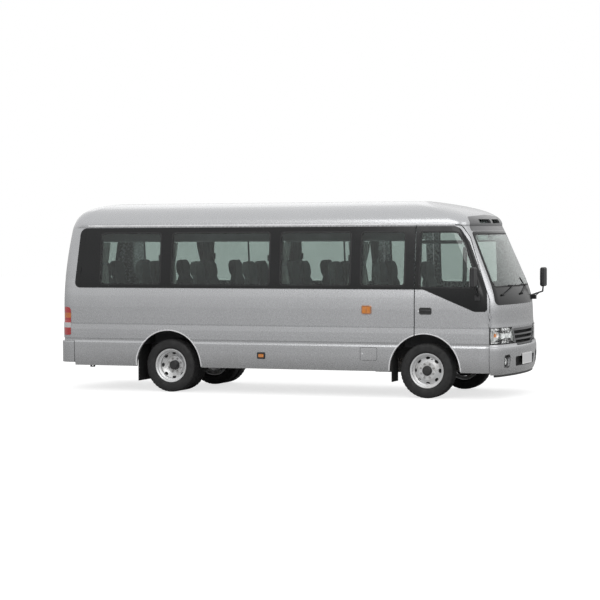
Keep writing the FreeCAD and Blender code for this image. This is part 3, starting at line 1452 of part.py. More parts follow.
def on_nose(y, z, stand_off):
    """A point in front of the nose or windscreen."""
    return V(nose_at(z) - y * y / (2 * mm("nose_arc_radius")) + stand_off, y, z)


def make_wipers():
    """Two wipers parked along the foot of the windscreen."""
    shapes = []
    for pivot_y, tip_y, blade_start, blade_end in ((-690, -250, -430, 90), (0, 440, 130, 600)):
        pivot = bar(on_nose(pivot_y, 1390, -30), on_nose(pivot_y, 1402, 30), 15)
        arm = bar(on_nose(pivot_y, 1398, 22), on_nose(tip_y, 1514, 22), 7)
        blade = bar(on_nose(blade_start, 1520, 16), on_nose(blade_end, 1506, 16), 8)
        shapes.append(pivot.multiFuse([arm, blade]).cut(outer))
    formed("wipers", together(shapes))


def make_mudflaps():
    """Rubber flaps behind each wheel, hung from the floor."""
    flaps = []
    top = mm("floor_top") - mm("floor_thickness")
    for x, low, inner_y in ((mm("front_axle_x") - 478, 215, 720), (REAR_AXLE_X - 490, 150, 560)):
        for side in (-1, 1):
            low_y, high_y = sorted((side * inner_y, side * 972))
            flaps.append(block(x - 10, x, low_y, high_y, low, top))
    formed("mudflaps", together(flaps))


def make_side_lamps():
    """Orange marker and small side lamps on both sides."""
    shapes = []
    for outline, proud in ((rectangle(1344, 1481, 1136, 1251, 20), mm("body_half_width") + 14),
                           (rectangle(-189, -88, 510, 579, 12), mm("skirt_half_width") + 10)):
        lamp = side_prism(outline, proud - 40, proud).cut(outer)
        shapes.append(mirrored(lamp))
        if outline[1][0] < mm("entry_front_x") - mm("entry_width"):
            shapes.append(lamp)
    formed("side_lamps", together(shapes))


def check_all():
    """Stop on any failed object or empty sub-part, and name them all."""
    doc.recompute()
    faults = [obj.Label for obj in doc.Objects if "Invalid" in obj.State or "Error" in obj.State]
    for obj in parts:
        if obj.Shape.isNull() or not obj.Shape.isValid() or not obj.Shape.Solids:
            faults.append(obj.Label)
    if faults:
        raise RuntimeError("no sound shape: " + ", ".join(faults))


make_fixed_glass()
make_tail_lamps()
make_roof()
make_luggage_doors()
make_front_panel()
make_header()
make_driver_door()
make_entry_door()
make_flap()
make_bumpers()
make_bumper_grilles()
make_number_plates()
make_front_lamps()
make_grille()
make_floor()
make_wheel_boxes()
make_chassis()
formed("axles", together([front_axle(), rear_axle()]))
make_knuckle("knuckle_right", -1)
make_knuckle("knuckle_left", 1)
make_driveline()
make_wheels()
make_seats()
make_dashboard()
make_steering_wheel()
make_curtains()
make_ceiling_ducts()
make_mirrors()
make_wipers()
make_mudflaps()
make_side_lamps()
check_all()

os.makedirs("parts", exist_ok=True)
for obj in parts:
    obj.Shape.exportStep("parts/%s.step" % obj.Label)
print(len(parts), "sub-parts")
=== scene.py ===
import json
from bisect import bisect_left
from math import acos, copysign, cos, degrees, dist, exp, hypot, pi, radians, sin, sqrt

import bmesh
import bpy
from mathutils import Matrix, Vector
from mathutils.bvhtree import BVHTree


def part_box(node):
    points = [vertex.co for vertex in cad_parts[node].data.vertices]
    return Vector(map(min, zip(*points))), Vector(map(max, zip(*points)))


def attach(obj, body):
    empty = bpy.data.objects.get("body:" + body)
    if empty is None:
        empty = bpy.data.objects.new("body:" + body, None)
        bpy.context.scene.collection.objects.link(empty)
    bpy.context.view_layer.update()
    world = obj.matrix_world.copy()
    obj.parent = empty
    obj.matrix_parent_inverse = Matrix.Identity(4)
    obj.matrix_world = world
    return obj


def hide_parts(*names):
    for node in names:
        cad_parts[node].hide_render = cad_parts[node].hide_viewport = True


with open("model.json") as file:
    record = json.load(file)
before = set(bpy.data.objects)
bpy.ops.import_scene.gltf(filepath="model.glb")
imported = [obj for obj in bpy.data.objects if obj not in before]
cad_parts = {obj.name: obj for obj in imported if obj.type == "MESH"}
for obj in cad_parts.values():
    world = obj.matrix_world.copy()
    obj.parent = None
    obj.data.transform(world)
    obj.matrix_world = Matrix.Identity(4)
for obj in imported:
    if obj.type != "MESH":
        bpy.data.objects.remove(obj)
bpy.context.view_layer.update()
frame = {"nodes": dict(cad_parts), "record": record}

# A silver minibus in plain studio light. Lengths are in metres: X forward, Y to its left, Z up.

RIGHT, LEFT = -1, 1
SIDES = {"right": RIGHT, "left": LEFT}
FORWARD = Vector((1, 0, 0))
OUT = {side: Vector((0, side, 0)) for side in (RIGHT, LEFT)}


def middle(node):
    """The middle of a node's box."""
    low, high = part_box(node)
    return (Vector(low) + Vector(high)) / 2


FRONT_X = middle("tyre_front_right").x
REAR_X = middle("tyre_rear_right").x
AXLE_Z = middle("tyre_front_right").z
TYRE_RADIUS = AXLE_Z
ARCH_RADIUS = 0.505
DOOR_EDGE_X = 2.094
NUTS = 8
NUT_CIRCLE = 0.097
FOG_TOP = 0.7
LAMP_Z = 0.85
GRILLE_Z = 0.935
CURTAIN_INSET = 0.0655
CURTAIN_FULLNESS = 1.55


# Node helpers


class Tree:
    """A node tree, with short calls for its nodes."""

    def __init__(self, owner):
        owner.use_nodes = True
        self.nodes = owner.node_tree.nodes
        self.links = owner.node_tree.links

    def wire(self, node, inputs):
        """Sets a node's inputs to constants, or links them to sockets."""
        for name, value in inputs.items():
            if isinstance(value, bpy.types.NodeSocket):
                self.links.new(value, node.inputs[name])
            else:
                node.inputs[name].default_value = value

    def node(self, kind, inputs, **settings):
        node = self.nodes.new("ShaderNode" + kind)
        for name, value in settings.items():
            setattr(node, name, value)
        self.wire(node, inputs)
        return node

    def spread(self, value, low, high, to_low=0.0, to_high=1.0, **settings):
        """The value, taken from one range to another and held inside it."""
        ends = {"Value": value, "From Min": low, "From Max": high, "To Min": to_low, "To Max": to_high}
        return self.node("MapRange", ends, **settings).outputs["Result"]


class Finish(Tree):
    """A material, with short calls for the patterns that the finishes share."""

    def __init__(self, name, colour, roughness, metallic=0.0):
        self.material = bpy.data.materials.new(name)
        super().__init__(self.material)
        self.material.diffuse_color = (*colour, 1)
        self.shader = self.nodes["Principled BSDF"]
        self.place = self.nodes.new("ShaderNodeTexCoord").outputs["Object"]
        self.set({"Base Color": (*colour, 1), "Roughness": roughness, "Metallic": metallic})

    def set(self, inputs):
        """Sets or feeds the shader's own sockets."""
        self.wire(self.shader, inputs)

    def noise(self, scale, detail=3.0):
        return self.node("TexNoise", {"Scale": scale, "Detail": detail, "Vector": self.place}).outputs["Fac"]

    def cells(self, scale):
        return self.node("TexVoronoi", {"Scale": scale, "Vector": self.place}).outputs["Distance"]

    def waves(self, scale, direction):
        return self.node("TexWave", {"Scale": scale, "Vector": self.place}, bands_direction=direction).outputs["Fac"]

    def along(self, axis):
        """One coordinate of the place on the object."""
        return self.node("SeparateXYZ", {"Vector": self.place}).outputs[axis]

    def maths(self, operation, one, other):
        return self.node("Math", {0: one, 1: other}, operation=operation).outputs["Value"]

    def blend(self, share, one, other):
        """Two colours mixed by a share; either may be a colour or a socket. Inputs 6 and 7 are the node's colours."""
        one, other = ((*colour, 1) if isinstance(colour, tuple) else colour for colour in (one, other))
        return self.node("Mix", {0: share, 6: one, 7: other}, data_type="RGBA").outputs[2]

    def varied(self, colour, change, scale):
        """A colour that wanders a little about its mean."""
        darker = tuple(part * (1 - change) for part in colour)
        lighter = tuple(min(1.0, part * (1 + change)) for part in colour)
        return self.blend(self.spread(self.noise(scale, 4.0), 0.3, 0.7), darker, lighter)

    def uneven(self, scale, low, high):
        """A roughness that wanders between two values."""
        return self.spread(self.noise(scale), 0.3, 0.7, low, high)

    def bump(self, height, distance, strength=1.0, **over):
        """Relief on the shader's normal; it may lie over another one, given as Normal."""
        inputs = {"Height": height, "Distance": distance, "Strength": strength, **over}
        normal = self.node("Bump", inputs).outputs["Normal"]
        self.set({"Normal": normal})
        return normal

    def profile(self, value, low, high, points):
        """A curve of (place, height) points over a range, and the span of its heights."""
        bottom = min(height for _, height in points)
        span = max(height for _, height in points) - bottom
        node = self.node("FloatCurve", {"Value": self.spread(value, low, high)})
        curve = node.mapping.curves[0]
        scaled = [((place - low) / (high - low), (height - bottom) / span) for place, height in points]
        curve.points[0].location = scaled[0]
        curve.points[-1].location = scaled[-1]
        for place, height in scaled[1:-1]:
            curve.points.new(place, height)
        for point in curve.points:
            point.handle_type = "VECTOR"
        node.mapping.update()
        return node.outputs["Value"], span


def surface(name, colour, roughness, metallic, tone, sheen=None, constants=None):
    """A finish whose colour wanders by (change, scale), and its roughness by (scale, low, high)."""
    finish = Finish(name, colour, roughness, metallic)
    finish.set({"Base Color": finish.varied(colour, *tone), **(constants or {})})
    if sheen:
        finish.set({"Roughness": finish.uneven(*sheen)})
    return finish


# Finishes


def pressed_lines():
    """The soft lean of the side's sheet between its form lines, as (height, depth) points."""
    leans = ((0.30, 0.08), (0.42, 0.07), (0.56, 0.03), (0.66, 0.0), (0.692, -0.05), (0.696, -0.42), (0.714, -0.42),
             (0.718, 0.0), (0.734, 0.05), (0.738, 0.32), (0.752, 0.32), (0.756, 0.03), (0.82, 0.0), (0.88, -0.05),
             (0.950, -0.10), (0.954, 0.24), (0.968, 0.24), (0.972, 0.02), (1.06, 0.0), (1.20, -0.02), (1.36, -0.045),
             (1.46, -0.05), (1.60, 0.0))
    depth = 0.0
    points = [(leans[0][0], 0.0)]
    for (before, lean), (after, next_lean) in zip(leans, leans[1:]):
        depth += (lean + next_lean) / 2 * (after - before)
        points.append((after, depth))
    return points


def silver_paint():
    """Silver metallic lacquer: fine flake, faint orange peel, pressed form lines and patches that darken it towards
    the bottom.
    """
    colour = (0.46, 0.465, 0.475)
    finish = Finish("silver_paint", colour, 0.26, 0.6)
    flake = finish.spread(finish.cells(1400), 0.0, 0.6, 0.0, 0.10)
    tone = finish.blend(flake, finish.varied(colour, 0.02, 1.3), (0.56, 0.57, 0.59))
    # Patches darken the colour towards a dull brown grey below 0.70 m, more towards the bottom.
    low = finish.spread(finish.along("Z"), 0.36, 0.70, 0.45, 0.0)
    patch_tone = finish.maths("MULTIPLY", low, finish.noise(5.0, 5.0))
    finish.set({"Base Color": finish.blend(patch_tone, tone, (0.22, 0.21, 0.195)), "Coat Weight": 0.5,
                "Coat Roughness": 0.06, "Roughness": finish.uneven(30, 0.24, 0.30)})
    lines, span = finish.profile(finish.along("Z"), 0.30, 1.60, pressed_lines())
    finish.bump(finish.noise(60, 2.0), 0.0003, 0.10, Normal=finish.bump(lines, span))
    return finish


def grey_paint():
    """The darker grey of the grille and the panel above the windscreen."""
    finish = surface("grey_paint", (0.10, 0.101, 0.105), 0.36, 0.3, (0.08, 4.0),
                     constants={"Coat Weight": 0.4, "Coat Roughness": 0.08})
    finish.bump(finish.noise(220, 2.0), 0.0003, 0.25)
    return finish


def glass(name, colour, bend=1.45, tone=(0.02, 0.8), sheen=(3.0, 0.0, 0.012)):
    """Glass or clear plastic, with a trace of unevenness."""
    return surface(name, colour, 0.0, 0.0, tone, sheen, {"Transmission Weight": 1.0, "IOR": bend})


def moulded_plastic(name, colour, roughness, grain=900.0, depth=0.0004):
    """Grained plastic with a slightly uneven sheen."""
    finish = surface(name, colour, roughness, 0.0, (0.12, 6.0), (40, roughness - 0.06, roughness + 0.06))
    finish.bump(finish.cells(grain), depth, 0.4)
    return finish


def dusty(name, colour, patch_tone, roughness, metallic=0.0, grain=90.0):
    """A rough painted or bare surface with patches of dust or rust."""
    finish = Finish(name, colour, roughness, metallic)
    patches = finish.spread(finish.noise(8.0, 6.0), 0.45, 0.75, 0.0, 0.5)
    finish.set({"Base Color": finish.blend(patches, colour, patch_tone),
                "Roughness": finish.uneven(14.0, roughness - 0.1, roughness + 0.1)})
    finish.bump(finish.noise(grain, 4.0), 0.001, 0.35)
    return finish


LENS = {"Coat Weight": 1.0, "Coat Roughness": 0.02}


def lamp_lens(name, colour):
    """A moulded lamp lens with fine optic ribs inside."""
    finish = surface(name, colour, 0.08, 0.0, (0.10, 18.0), constants=LENS)
    finish.bump(finish.waves(60.0, "Z"), 0.0015, 0.5)
    return finish


def tail_lens():
    """A tail lamp in three zones: red above, amber in the middle, red below round a clear reversing lamp."""
    red = (0.42, 0.010, 0.012)
    finish = lamp_lens("tail_lens", red)
    height = finish.along("Z")

    def zone(low, high):
        ends = finish.spread(height, low, low + 0.002), finish.spread(height, high, high - 0.002)
        return finish.maths("MULTIPLY", *ends)

    colour = finish.blend(zone(1.035, 1.108), finish.varied(red, 0.10, 18.0), (0.55, 0.14, 0.010))
    finish.set({"Base Color": finish.blend(zone(0.895, 0.968), colour, (0.55, 0.55, 0.55))})
    return finish


def plated(name, colour, roughness, metallic):
    """Vacuum-plated reflector or mirror glass."""
    return surface(name, colour, roughness, metallic, (0.04, 12.0), (18.0, roughness - 0.04, roughness + 0.06))


def woven_cloth(name, dark, light, scale=420.0):
    """Woven cloth: two crossing yarns and a soft sheen."""
    finish = Finish(name, light, 0.9)
    yarns = finish.maths("MULTIPLY", finish.waves(scale, "Z"), finish.waves(scale, "X"))
    share = finish.maths("MULTIPLY", finish.spread(finish.noise(24.0, 5.0), 0.2, 0.8), 0.7)
    share = finish.maths("ADD", share, finish.maths("MULTIPLY", yarns, 0.3))
    finish.set({"Base Color": finish.blend(share, dark, light), "Sheen Weight": 0.25, "Sheen Roughness": 0.5})
    finish.bump(yarns, 0.0001, 0.4)
    return finish


def plate_sheet():
    """A blank plate: white with a slightly greyer panel inside its rim."""
    white = (0.88, 0.88, 0.88)
    finish = Finish("plate_sheet", white, 0.3)
    centre = finish.spread(finish.along("X"), -1.0, 1.0, 0.555, 0.517)
    height = finish.maths("ABSOLUTE", finish.maths("SUBTRACT", finish.along("Z"), centre), 0.0)
    across = finish.maths("ABSOLUTE", finish.along("Y"), 0.0)
    panel = finish.maths("MULTIPLY", finish.spread(height, 0.058, 0.057), finish.spread(across, 0.212, 0.211))
    finish.set({"Base Color": finish.blend(panel, finish.varied(white, 0.02, 9.0), (0.74, 0.74, 0.75))})
    finish.bump(finish.maths("MULTIPLY", panel, -1.0), 0.001, 0.6)
    return finish


# The first ones are the record's slots; those after plate_white are the scene's own.
MATERIALS = {name: finish.material for name, finish in {
    "body_paint": silver_paint(),
    "dark_paint": grey_paint(),
    "black_band": surface("black_glass", (0.009, 0.0095, 0.010), 0.14, 0.0, (0.15, 2.5), (9.0, 0.12, 0.18),
                          {"Specular IOR Level": 0.35}),
    "tinted_glass": glass("tinted_glass", (0.47, 0.535, 0.51)),
    "clear_glass": glass("clear_glass", (0.66, 0.73, 0.70)),
    "black_plastic": moulded_plastic("black_plastic", (0.014, 0.014, 0.015), 0.45),
    "chassis_paint": dusty("chassis_black", (0.018, 0.018, 0.019), (0.06, 0.057, 0.052), 0.55),
    "bare_iron": dusty("cast_iron", (0.13, 0.125, 0.12), (0.15, 0.09, 0.06), 0.6, 0.6, 160.0),
    "wheel_paint": dusty("wheel_silver", (0.66, 0.665, 0.67), (0.50, 0.49, 0.47), 0.34, 0.35, 240.0),
    "tyre": dusty("tyre_rubber", (0.012, 0.012, 0.0125), (0.030, 0.029, 0.028), 0.72, 0.0, 320.0),
    "flap_rubber": moulded_plastic("flap_rubber", (0.014, 0.014, 0.014), 0.7, 300.0, 0.0008),
    "lamp_clear": glass("clear_cover", (0.93, 0.94, 0.94), 1.30, (0.01, 5.0), (6.0, 0.0, 0.02)),
    "lamp_red": tail_lens(),
    "lamp_amber": lamp_lens("lamp_amber", (0.60, 0.19, 0.010)),
    "seat_cloth": woven_cloth("seat_cloth", (0.05, 0.055, 0.055), (0.11, 0.115, 0.115)),
    "curtain_cloth": woven_cloth("curtain_cloth", (0.20, 0.21, 0.20), (0.34, 0.35, 0.34), 700.0),
    "trim_plastic": moulded_plastic("trim_plastic", (0.16, 0.16, 0.165), 0.55),
    "floor_cover": moulded_plastic("floor_cover", (0.09, 0.09, 0.095), 0.6, 260.0, 0.0008),
    "exhaust_steel": dusty("exhaust_steel", (0.16, 0.155, 0.15), (0.12, 0.08, 0.06), 0.5, 0.7, 120.0),
    "plate_white": plate_sheet(),
    "mirror": plated("mirror_silver", (0.72, 0.73, 0.73), 0.16, 0.9),
    "reflector": plated("lamp_reflector", (0.80, 0.81, 0.80), 0.34, 0.55),
    "orange": lamp_lens("orange_bulb", (0.80, 0.24, 0.02)),
    "brown": lamp_lens("marker_rim", (0.26, 0.075, 0.008)),
    "seal": moulded_plastic("seal_rubber", (0.010, 0.010, 0.0105), 0.6, 500.0),
    # Pale trim: the real colour of the key locks, and a painted highlight on the arch lips and drip rails.
    "bright": moulded_plastic("pale_trim_and_painted_highlight", (0.74, 0.74, 0.75), 0.40, 60.0, 0.0001),
    "hub_black": dusty("hub_black", (0.020, 0.020, 0.021), (0.05, 0.048, 0.045), 0.5),
    "zinc": dusty("zinc_nut", (0.42, 0.42, 0.42), (0.28, 0.25, 0.22), 0.4, 0.8, 200.0),
}.items()}


def dress_nodes():
    """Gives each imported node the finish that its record's slot names."""
    for part in frame["record"]["subparts"]:
        node = frame["nodes"].get(part.get("node") or part.get("name"))
        if node is not None:
            node.data.materials.clear()
            node.data.materials.append(MATERIALS[part["material_slot"]])


# Mesh helpers


def placed(name, data):
    """A new object in the scene."""
    obj = bpy.data.objects.new(name, data)
    bpy.context.scene.collection.objects.link(obj)
    return obj


def piece(name, mesh, slot, body="root", material=None, replaces=(), sharp=35.0, turned_right=False):
    """A finished piece from a bmesh: its object, its finish (the given material's, or else the slot's) and its body.
    An open one comes turned right.
    """
    if not turned_right:
        bmesh.ops.recalc_face_normals(mesh, faces=mesh.faces)
    data = bpy.data.meshes.new(name)
    mesh.to_mesh(data)
    mesh.free()
    data.shade_smooth()
    data.set_sharp_from_angle(angle=radians(sharp))
    data.materials.append(MATERIALS[material or slot])
    obj = placed(name, data)
    if replaces:
        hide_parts(*replaces)
    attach(obj, body)
    return obj


def solidify(obj, thickness, offset=-1.0):
    modifier = obj.modifiers.new("solidify", "SOLIDIFY")
    modifier.thickness = thickness
    modifier.offset = offset


def evenly(first, last, steps):
    """Values in even steps from the first to the last."""
    return [first + (last - first) * step / steps for step in range(steps + 1)]


def web(mesh, rings, around=False, ends_meet=False):
    """Faces between neighbouring rings of corners; a corner that the rings share is a pole."""
    size = len(rings[0])
    for one, two in zip(rings, rings[1:] + rings[:1] if ends_meet else rings[1:]):
        for index in range(size if around else size - 1):
            after = (index + 1) % size
            corners = list(dict.fromkeys((one[index], one[after], two[after], two[index])))
            if len(corners) > 2:
                mesh.faces.new(corners)


def brick(mesh, centre, half, bevel=0.0):
    """A block about its centre, given its half sizes, with rounded edges where a bevel is given."""
    made = bmesh.ops.create_cube(mesh, size=2.0, matrix=Matrix.Translation(centre) @ Matrix.Diagonal((*half, 1)))
    if bevel:
        edges = list(dict.fromkeys(edge for vertex in made["verts"] for edge in vertex.link_edges))
        bmesh.ops.bevel(mesh, geom=edges, offset=bevel, segments=2, profile=0.5, affect="EDGES")


def turned(mesh, profile, centre, axis, steps=32):
    """Turns a closed (radius, along) outline about an axis through a centre; no radius is a point on the axis."""
    axis = Vector(axis).normalized()
    side = axis.orthogonal().normalized()
    other = axis.cross(side)
    centre = Vector(centre)
    poles = {index: mesh.verts.new(centre + axis * along) for index, (radius, along) in enumerate(profile)
             if radius == 0}
    rings = []
    for step in range(steps):
        angle = 2 * pi * step / steps
        out = side * cos(angle) + other * sin(angle)
        rings.append([poles.get(index) or mesh.verts.new(centre + out * radius + axis * along)
                      for index, (radius, along) in enumerate(profile)])
    web(mesh, rings, True, True)


def sweep(mesh, path, section, closed=False):
    """Carries an (across, out) section along a path of (point, outward) pairs."""
    count = len(path)
    rings = []
    for index, (point, outward) in enumerate(path):
        before = path[index - 1][0] if closed or index else point
        after = path[(index + 1) % count][0] if closed or index < count - 1 else point
        tangent = (after - before).normalized()
        across = tangent.cross(outward).normalized()
        out = across.cross(tangent).normalized()
        rings.append([mesh.verts.new(point + across * u + out * v) for u, v in section])
    web(mesh, rings, True, closed)
    if not closed:
        mesh.faces.new(rings[0][::-1])
        mesh.faces.new(rings[-1])


def domed(width, height):
    """A low rounded section for trim and seals, its foot sunk into what carries it."""
    half, sunk = width / 2, 0.002
    return [(-half, -sunk), (-half, height * 0.4), (-half * 0.55, height), (half * 0.55, height), (half, height * 0.4),
            (half, -sunk)]


def flat(width, low, high):
    """A plain oblong section between two heights."""
    return [(-width / 2, low), (-width / 2, high), (width / 2, high), (width / 2, low)]


def tube(mesh, points, radius):
    """A round bar along points."""
    section = [(radius * cos(pi * k / 5), radius * sin(pi * k / 5)) for k in range(10)]
    outward = (Vector(points[1]) - Vector(points[0])).normalized().orthogonal()
    sweep(mesh, [(Vector(point), outward) for point in points], section)


def evened(path, spacing):
    """A closed path of (point, outward) pairs with even steps along it."""
    path = path + path[:1]
    marks = [0.0]
    for (one, _), (two, _) in zip(path, path[1:]):
        marks.append(marks[-1] + (two - one).length)
    result = []
    for target in evenly(0, marks[-1], max(3, round(marks[-1] / spacing)))[:-1]:
        index = max(1, bisect_left(marks, target))
        share = (target - marks[index - 1]) / max(marks[index] - marks[index - 1], 1e-9)
        one, two = path[index - 1:index + 1]
        result.append((one[0].lerp(two[0], share), one[1].lerp(two[1], share).normalized()))
    return result


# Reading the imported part


def merged(name):
    """A node's mesh with its shared corners joined."""
    mesh = bmesh.new()
    mesh.from_mesh(frame["nodes"][name].data)
    bmesh.ops.remove_doubles(mesh, verts=mesh.verts, dist=1e-5)
    return mesh


def islands(name):
    """The lowest and highest corners of each separate solid of a node."""
    mesh = merged(name)
    left = set(mesh.verts)
    boxes = []
    while left:
        stack = [left.pop()]
        found = []
        while stack:
            vertex = stack.pop()
            found.append(vertex.co.copy())
            near = {edge.other_vert(vertex) for edge in vertex.link_edges} & left
            left -= near
            stack += near
        boxes.append([Vector([pick(parts) for parts in zip(*found)]) for pick in (min, max)])
    mesh.free()
    return sorted(boxes, key=lambda box: (round(box[0].x, 3), round(box[0].y, 3)))


def picked(name, wanted):
    """The faces of a node that a test of their middle and normal picks, as a mesh of their own."""
    mesh = merged(name)
    spare = [face for face in mesh.faces if not wanted(face.calc_center_median(), face.normal)]
    bmesh.ops.delete(mesh, geom=spare, context="FACES")
    mesh.normal_update()
    mesh.edges.index_update()
    return mesh


def rims(mesh):
    """The edges round an open mesh, each as a closed path of (point, outward) pairs."""
    edges = {edge for edge in mesh.edges if edge.is_boundary}
    paths = []
    while edges:
        following = min(edges, key=lambda item: item.index)
        current = following.verts[0]
        path = []
        while following is not None:
            path.append((current.co.copy(), current.normal.copy()))
            edges.discard(following)
            current = following.other_vert(current)
            following = next((item for item in current.link_edges if item in edges), None)
        if len(path) > 3:
            paths.append(path)
    return paths


def side_of(point):
    return LEFT if point.y > 0 else RIGHT


def sideways(point):
    return OUT[side_of(point)]


def glass_outward(point):
    """Outward at a pane: sideways on the sides, backwards at the tail."""
    return -FORWARD if point.x < -3.0 else sideways(point)


def lamp_outward(point):
    """Outward at the nose and its round corners."""
    return Vector((point.x - 2.75, point.y, 0)).normalized()


def skin(*names):
    """The named nodes' surfaces, for laying pieces on them."""
    points, faces = [], []
    for name in names:
        mesh = frame["nodes"][name].data
        faces += [[len(points) + index for index in polygon.vertices] for polygon in mesh.polygons]
        points += [vertex.co.copy() for vertex in mesh.vertices]
    return BVHTree.FromPolygons(points, faces)


OUTSIDE = skin("body_side_right", "body_side_left", "driver_door", "driver_door_trim", "driver_door_glass",
               "passenger_door", "passenger_door_glass", "window_bands", "fixed_windows", "rear_panel",
               "front_panel", "roof_panel", "fuel_flap", "bumpers", "windscreen", "front_header", "grille",
               "front_lamps", "tail_lamps")


def meet(start, direction):
    """Where a ray first meets the outside, as (point, outward); nearby rays step over a panel gap."""
    direction = Vector(direction).normalized()
    best = None
    for shift in (0.0, 0.012, -0.012):
        nudge = Vector((0, 0, shift)) if abs(direction.z) < 0.5 else Vector((shift, 0, 0))
        place, normal, _, distance = OUTSIDE.ray_cast(Vector(start) + nudge, direction)
        if place is not None and (best is None or distance < best[2] - 0.01):
            best = (place - nudge, normal if normal.dot(direction) < 0 else -normal, distance)
    return best[:2]


def on_side(x, z, side=RIGHT):
    return meet((x, side * 1.6, z), (0, -side, 0))


def on_front(y, z):
    return meet((4.0, y, z), (-1, 0, 0))


def along_side(points, side=RIGHT, sunk=0.0):
    """Points (x, z) laid on a side, or sunk in it."""
    path = []
    for x, z in points:
        place, outward = on_side(x, z, side)
        path.append((place - outward * sunk, outward))
    return path


# Wheels


def tyre_profile(notch):
    """A tyre's closed section of (radius, along) points, with four grooves round its tread and notched shoulders."""
    grooves = [(TYRE_RADIUS - depth, groove + along) for groove in (-0.054, -0.019, 0.019, 0.054)
               for depth, along in ((0, -0.0055), (0.008, -0.0035), (0.008, 0.0035), (0, 0.0055))]
    wall = [(TYRE_RADIUS - depth - notch, along)
            for depth, along in ((0.0005, 0.070), (0.001, 0.081), (0.012, 0.0935))]
    wall += [(TYRE_RADIUS - 0.028, 0.0985), (0.330, 0.103), (0.318, 0.1048), (0.316, 0.1032), (0.300, 0.1055),
             (0.278, 0.1045), (0.262, 0.102), (0.259, 0.0995), (0.250, 0.093), (0.243, 0.086), (0.2385, 0.0785),
             (0.2225, 0.065)]
    return [(radius, -along) for radius, along in reversed(wall)] + grooves + wall


def wheel_centre(station):
    """The middle of a wheel station, on the axle of the right-hand wheels."""
    return Vector((FRONT_X if "front" in station else REAR_X, middle("tyre_" + station).y, AXLE_Z))


def spoke(angle):
    """The direction from a wheel's middle at an angle from upright."""
    return Vector((sin(angle), 0, cos(angle)))


def make_tyre(station, side, shifts):
    """The tyres of one wheel station, with notched shoulders."""
    centre = wheel_centre(station)
    plain, notched = tyre_profile(0.0), tyre_profile(0.006)
    steps = 168
    mesh = bmesh.new()
    for shift in shifts:
        rings = []
        for step in range(steps):
            out = spoke(2 * pi * step / steps)
            rings.append([mesh.verts.new(centre + OUT[side] * (along + shift) + out * radius)
                          for radius, along in (plain if step % 4 else notched)])
        web(mesh, rings, True, True)
    piece("tyre_rubber_" + station, mesh, "tyre", "wheel_" + station, replaces=("tyre_" + station,), sharp=28.0)


def nut(mesh, centre, axis):
    """A wheel nut: a flanged foot, six flats and a chamfered top."""
    turned(mesh, [(0, 0), (0.015625, 0), (0.015, 0.003), (0.0125, 0.004), (0.0125, 0.019), (0.010, 0.021), (0, 0.021)],
           centre, axis, steps=6)


def make_wheel_fittings(station, side, face, hub_top):
    """Nuts, the black hub cap and the valve of one station's outer wheel."""
    body = "wheel_" + station
    axis = OUT[side]
    centre = wheel_centre(station)
    nuts = bmesh.new()
    for index in range(NUTS):
        nut(nuts, centre + spoke(2 * pi * (index + 0.5) / NUTS) * NUT_CIRCLE + axis * face, axis)
    piece("nuts_" + station, nuts, "wheel_paint", body, "zinc", sharp=20.0)
    cap = bmesh.new()
    turned(cap, [(0.0675, face + 0.001), (0.069, face + 0.004), (0.068, face + 0.008), (0.0665, hub_top - 0.027),
                 (0.060, hub_top - 0.006), (0.050, hub_top), (0.044, hub_top), (0.042, hub_top - 0.003),
                 (0, hub_top - 0.0005), (0, hub_top - 0.010), (0.050, hub_top - 0.012),
                 (0.0663, hub_top - 0.034), (0.0663, face + 0.001)], centre, axis, steps=48)
    piece("hub_cap_" + station, cap, "black_plastic", body, "hub_black", sharp=25.0)
    valve = bmesh.new()
    foot = centre + spoke(0.4) * 0.171 + axis * (face * 0.4)
    tube(valve, [foot, foot + axis * 0.030, foot + axis * 0.048], 0.004)
    tube(valve, [foot + axis * 0.046, foot + axis * 0.056], 0.006)
    piece("valve_" + station, valve, "black_plastic", body, "hub_black")


def make_brake_faces():
    """The front brakes' dark faces, seen through the hand holes."""
    for label, side in SIDES.items():
        mesh = bmesh.new()
        turned(mesh, [(0.080, 0.012), (0.120, 0.012), (0.150, 0.002), (0.178, -0.018), (0.1835, -0.022),
                      (0.1835, -0.028), (0.176, -0.026), (0.148, -0.006), (0.118, 0.004), (0.080, 0.004)],
               wheel_centre("front_" + label), OUT[side], steps=56)
        piece("brake_face_" + label, mesh, "chassis_paint", "wheel_front_" + label)


def make_wheels():
    for label, side in SIDES.items():
        for end, shifts, face, hub_top in (("front_", (0.0,), 0.062, 0.0975),
                                           ("rear_", (0.120, -0.120), 0.058, 0.1275)):
            make_tyre(end + label, side, shifts)
            make_wheel_fittings(end + label, side, face, hub_top)


# Lamps


def dish(mesh, centre, axis, radius, depth):
    """A reflector bowl, thin-walled, opening along its axis."""
    inside = [(radius * share, -depth * (1 - share * share)) for share in (0.12, 0.35, 0.6, 0.8, 0.93, 1.0)]
    outside = [(r + 0.001, along - 0.0012) for r, along in reversed(inside)]
    turned(mesh, inside + [(radius + 0.004, 0.0)] + outside, centre, axis, steps=40)


def bulb(mesh, centre, axis, radius, length):
    """A lamp bulb: a rounded glass envelope on its base."""
    turned(mesh, [(0, -length), (radius * 0.7, -length), (radius * 0.7, -length * 0.6), (radius, -length * 0.4),
                  (radius, -length * 0.15), (radius * 0.7, -length * 0.03), (0, 0.0)], centre, axis, steps=20)


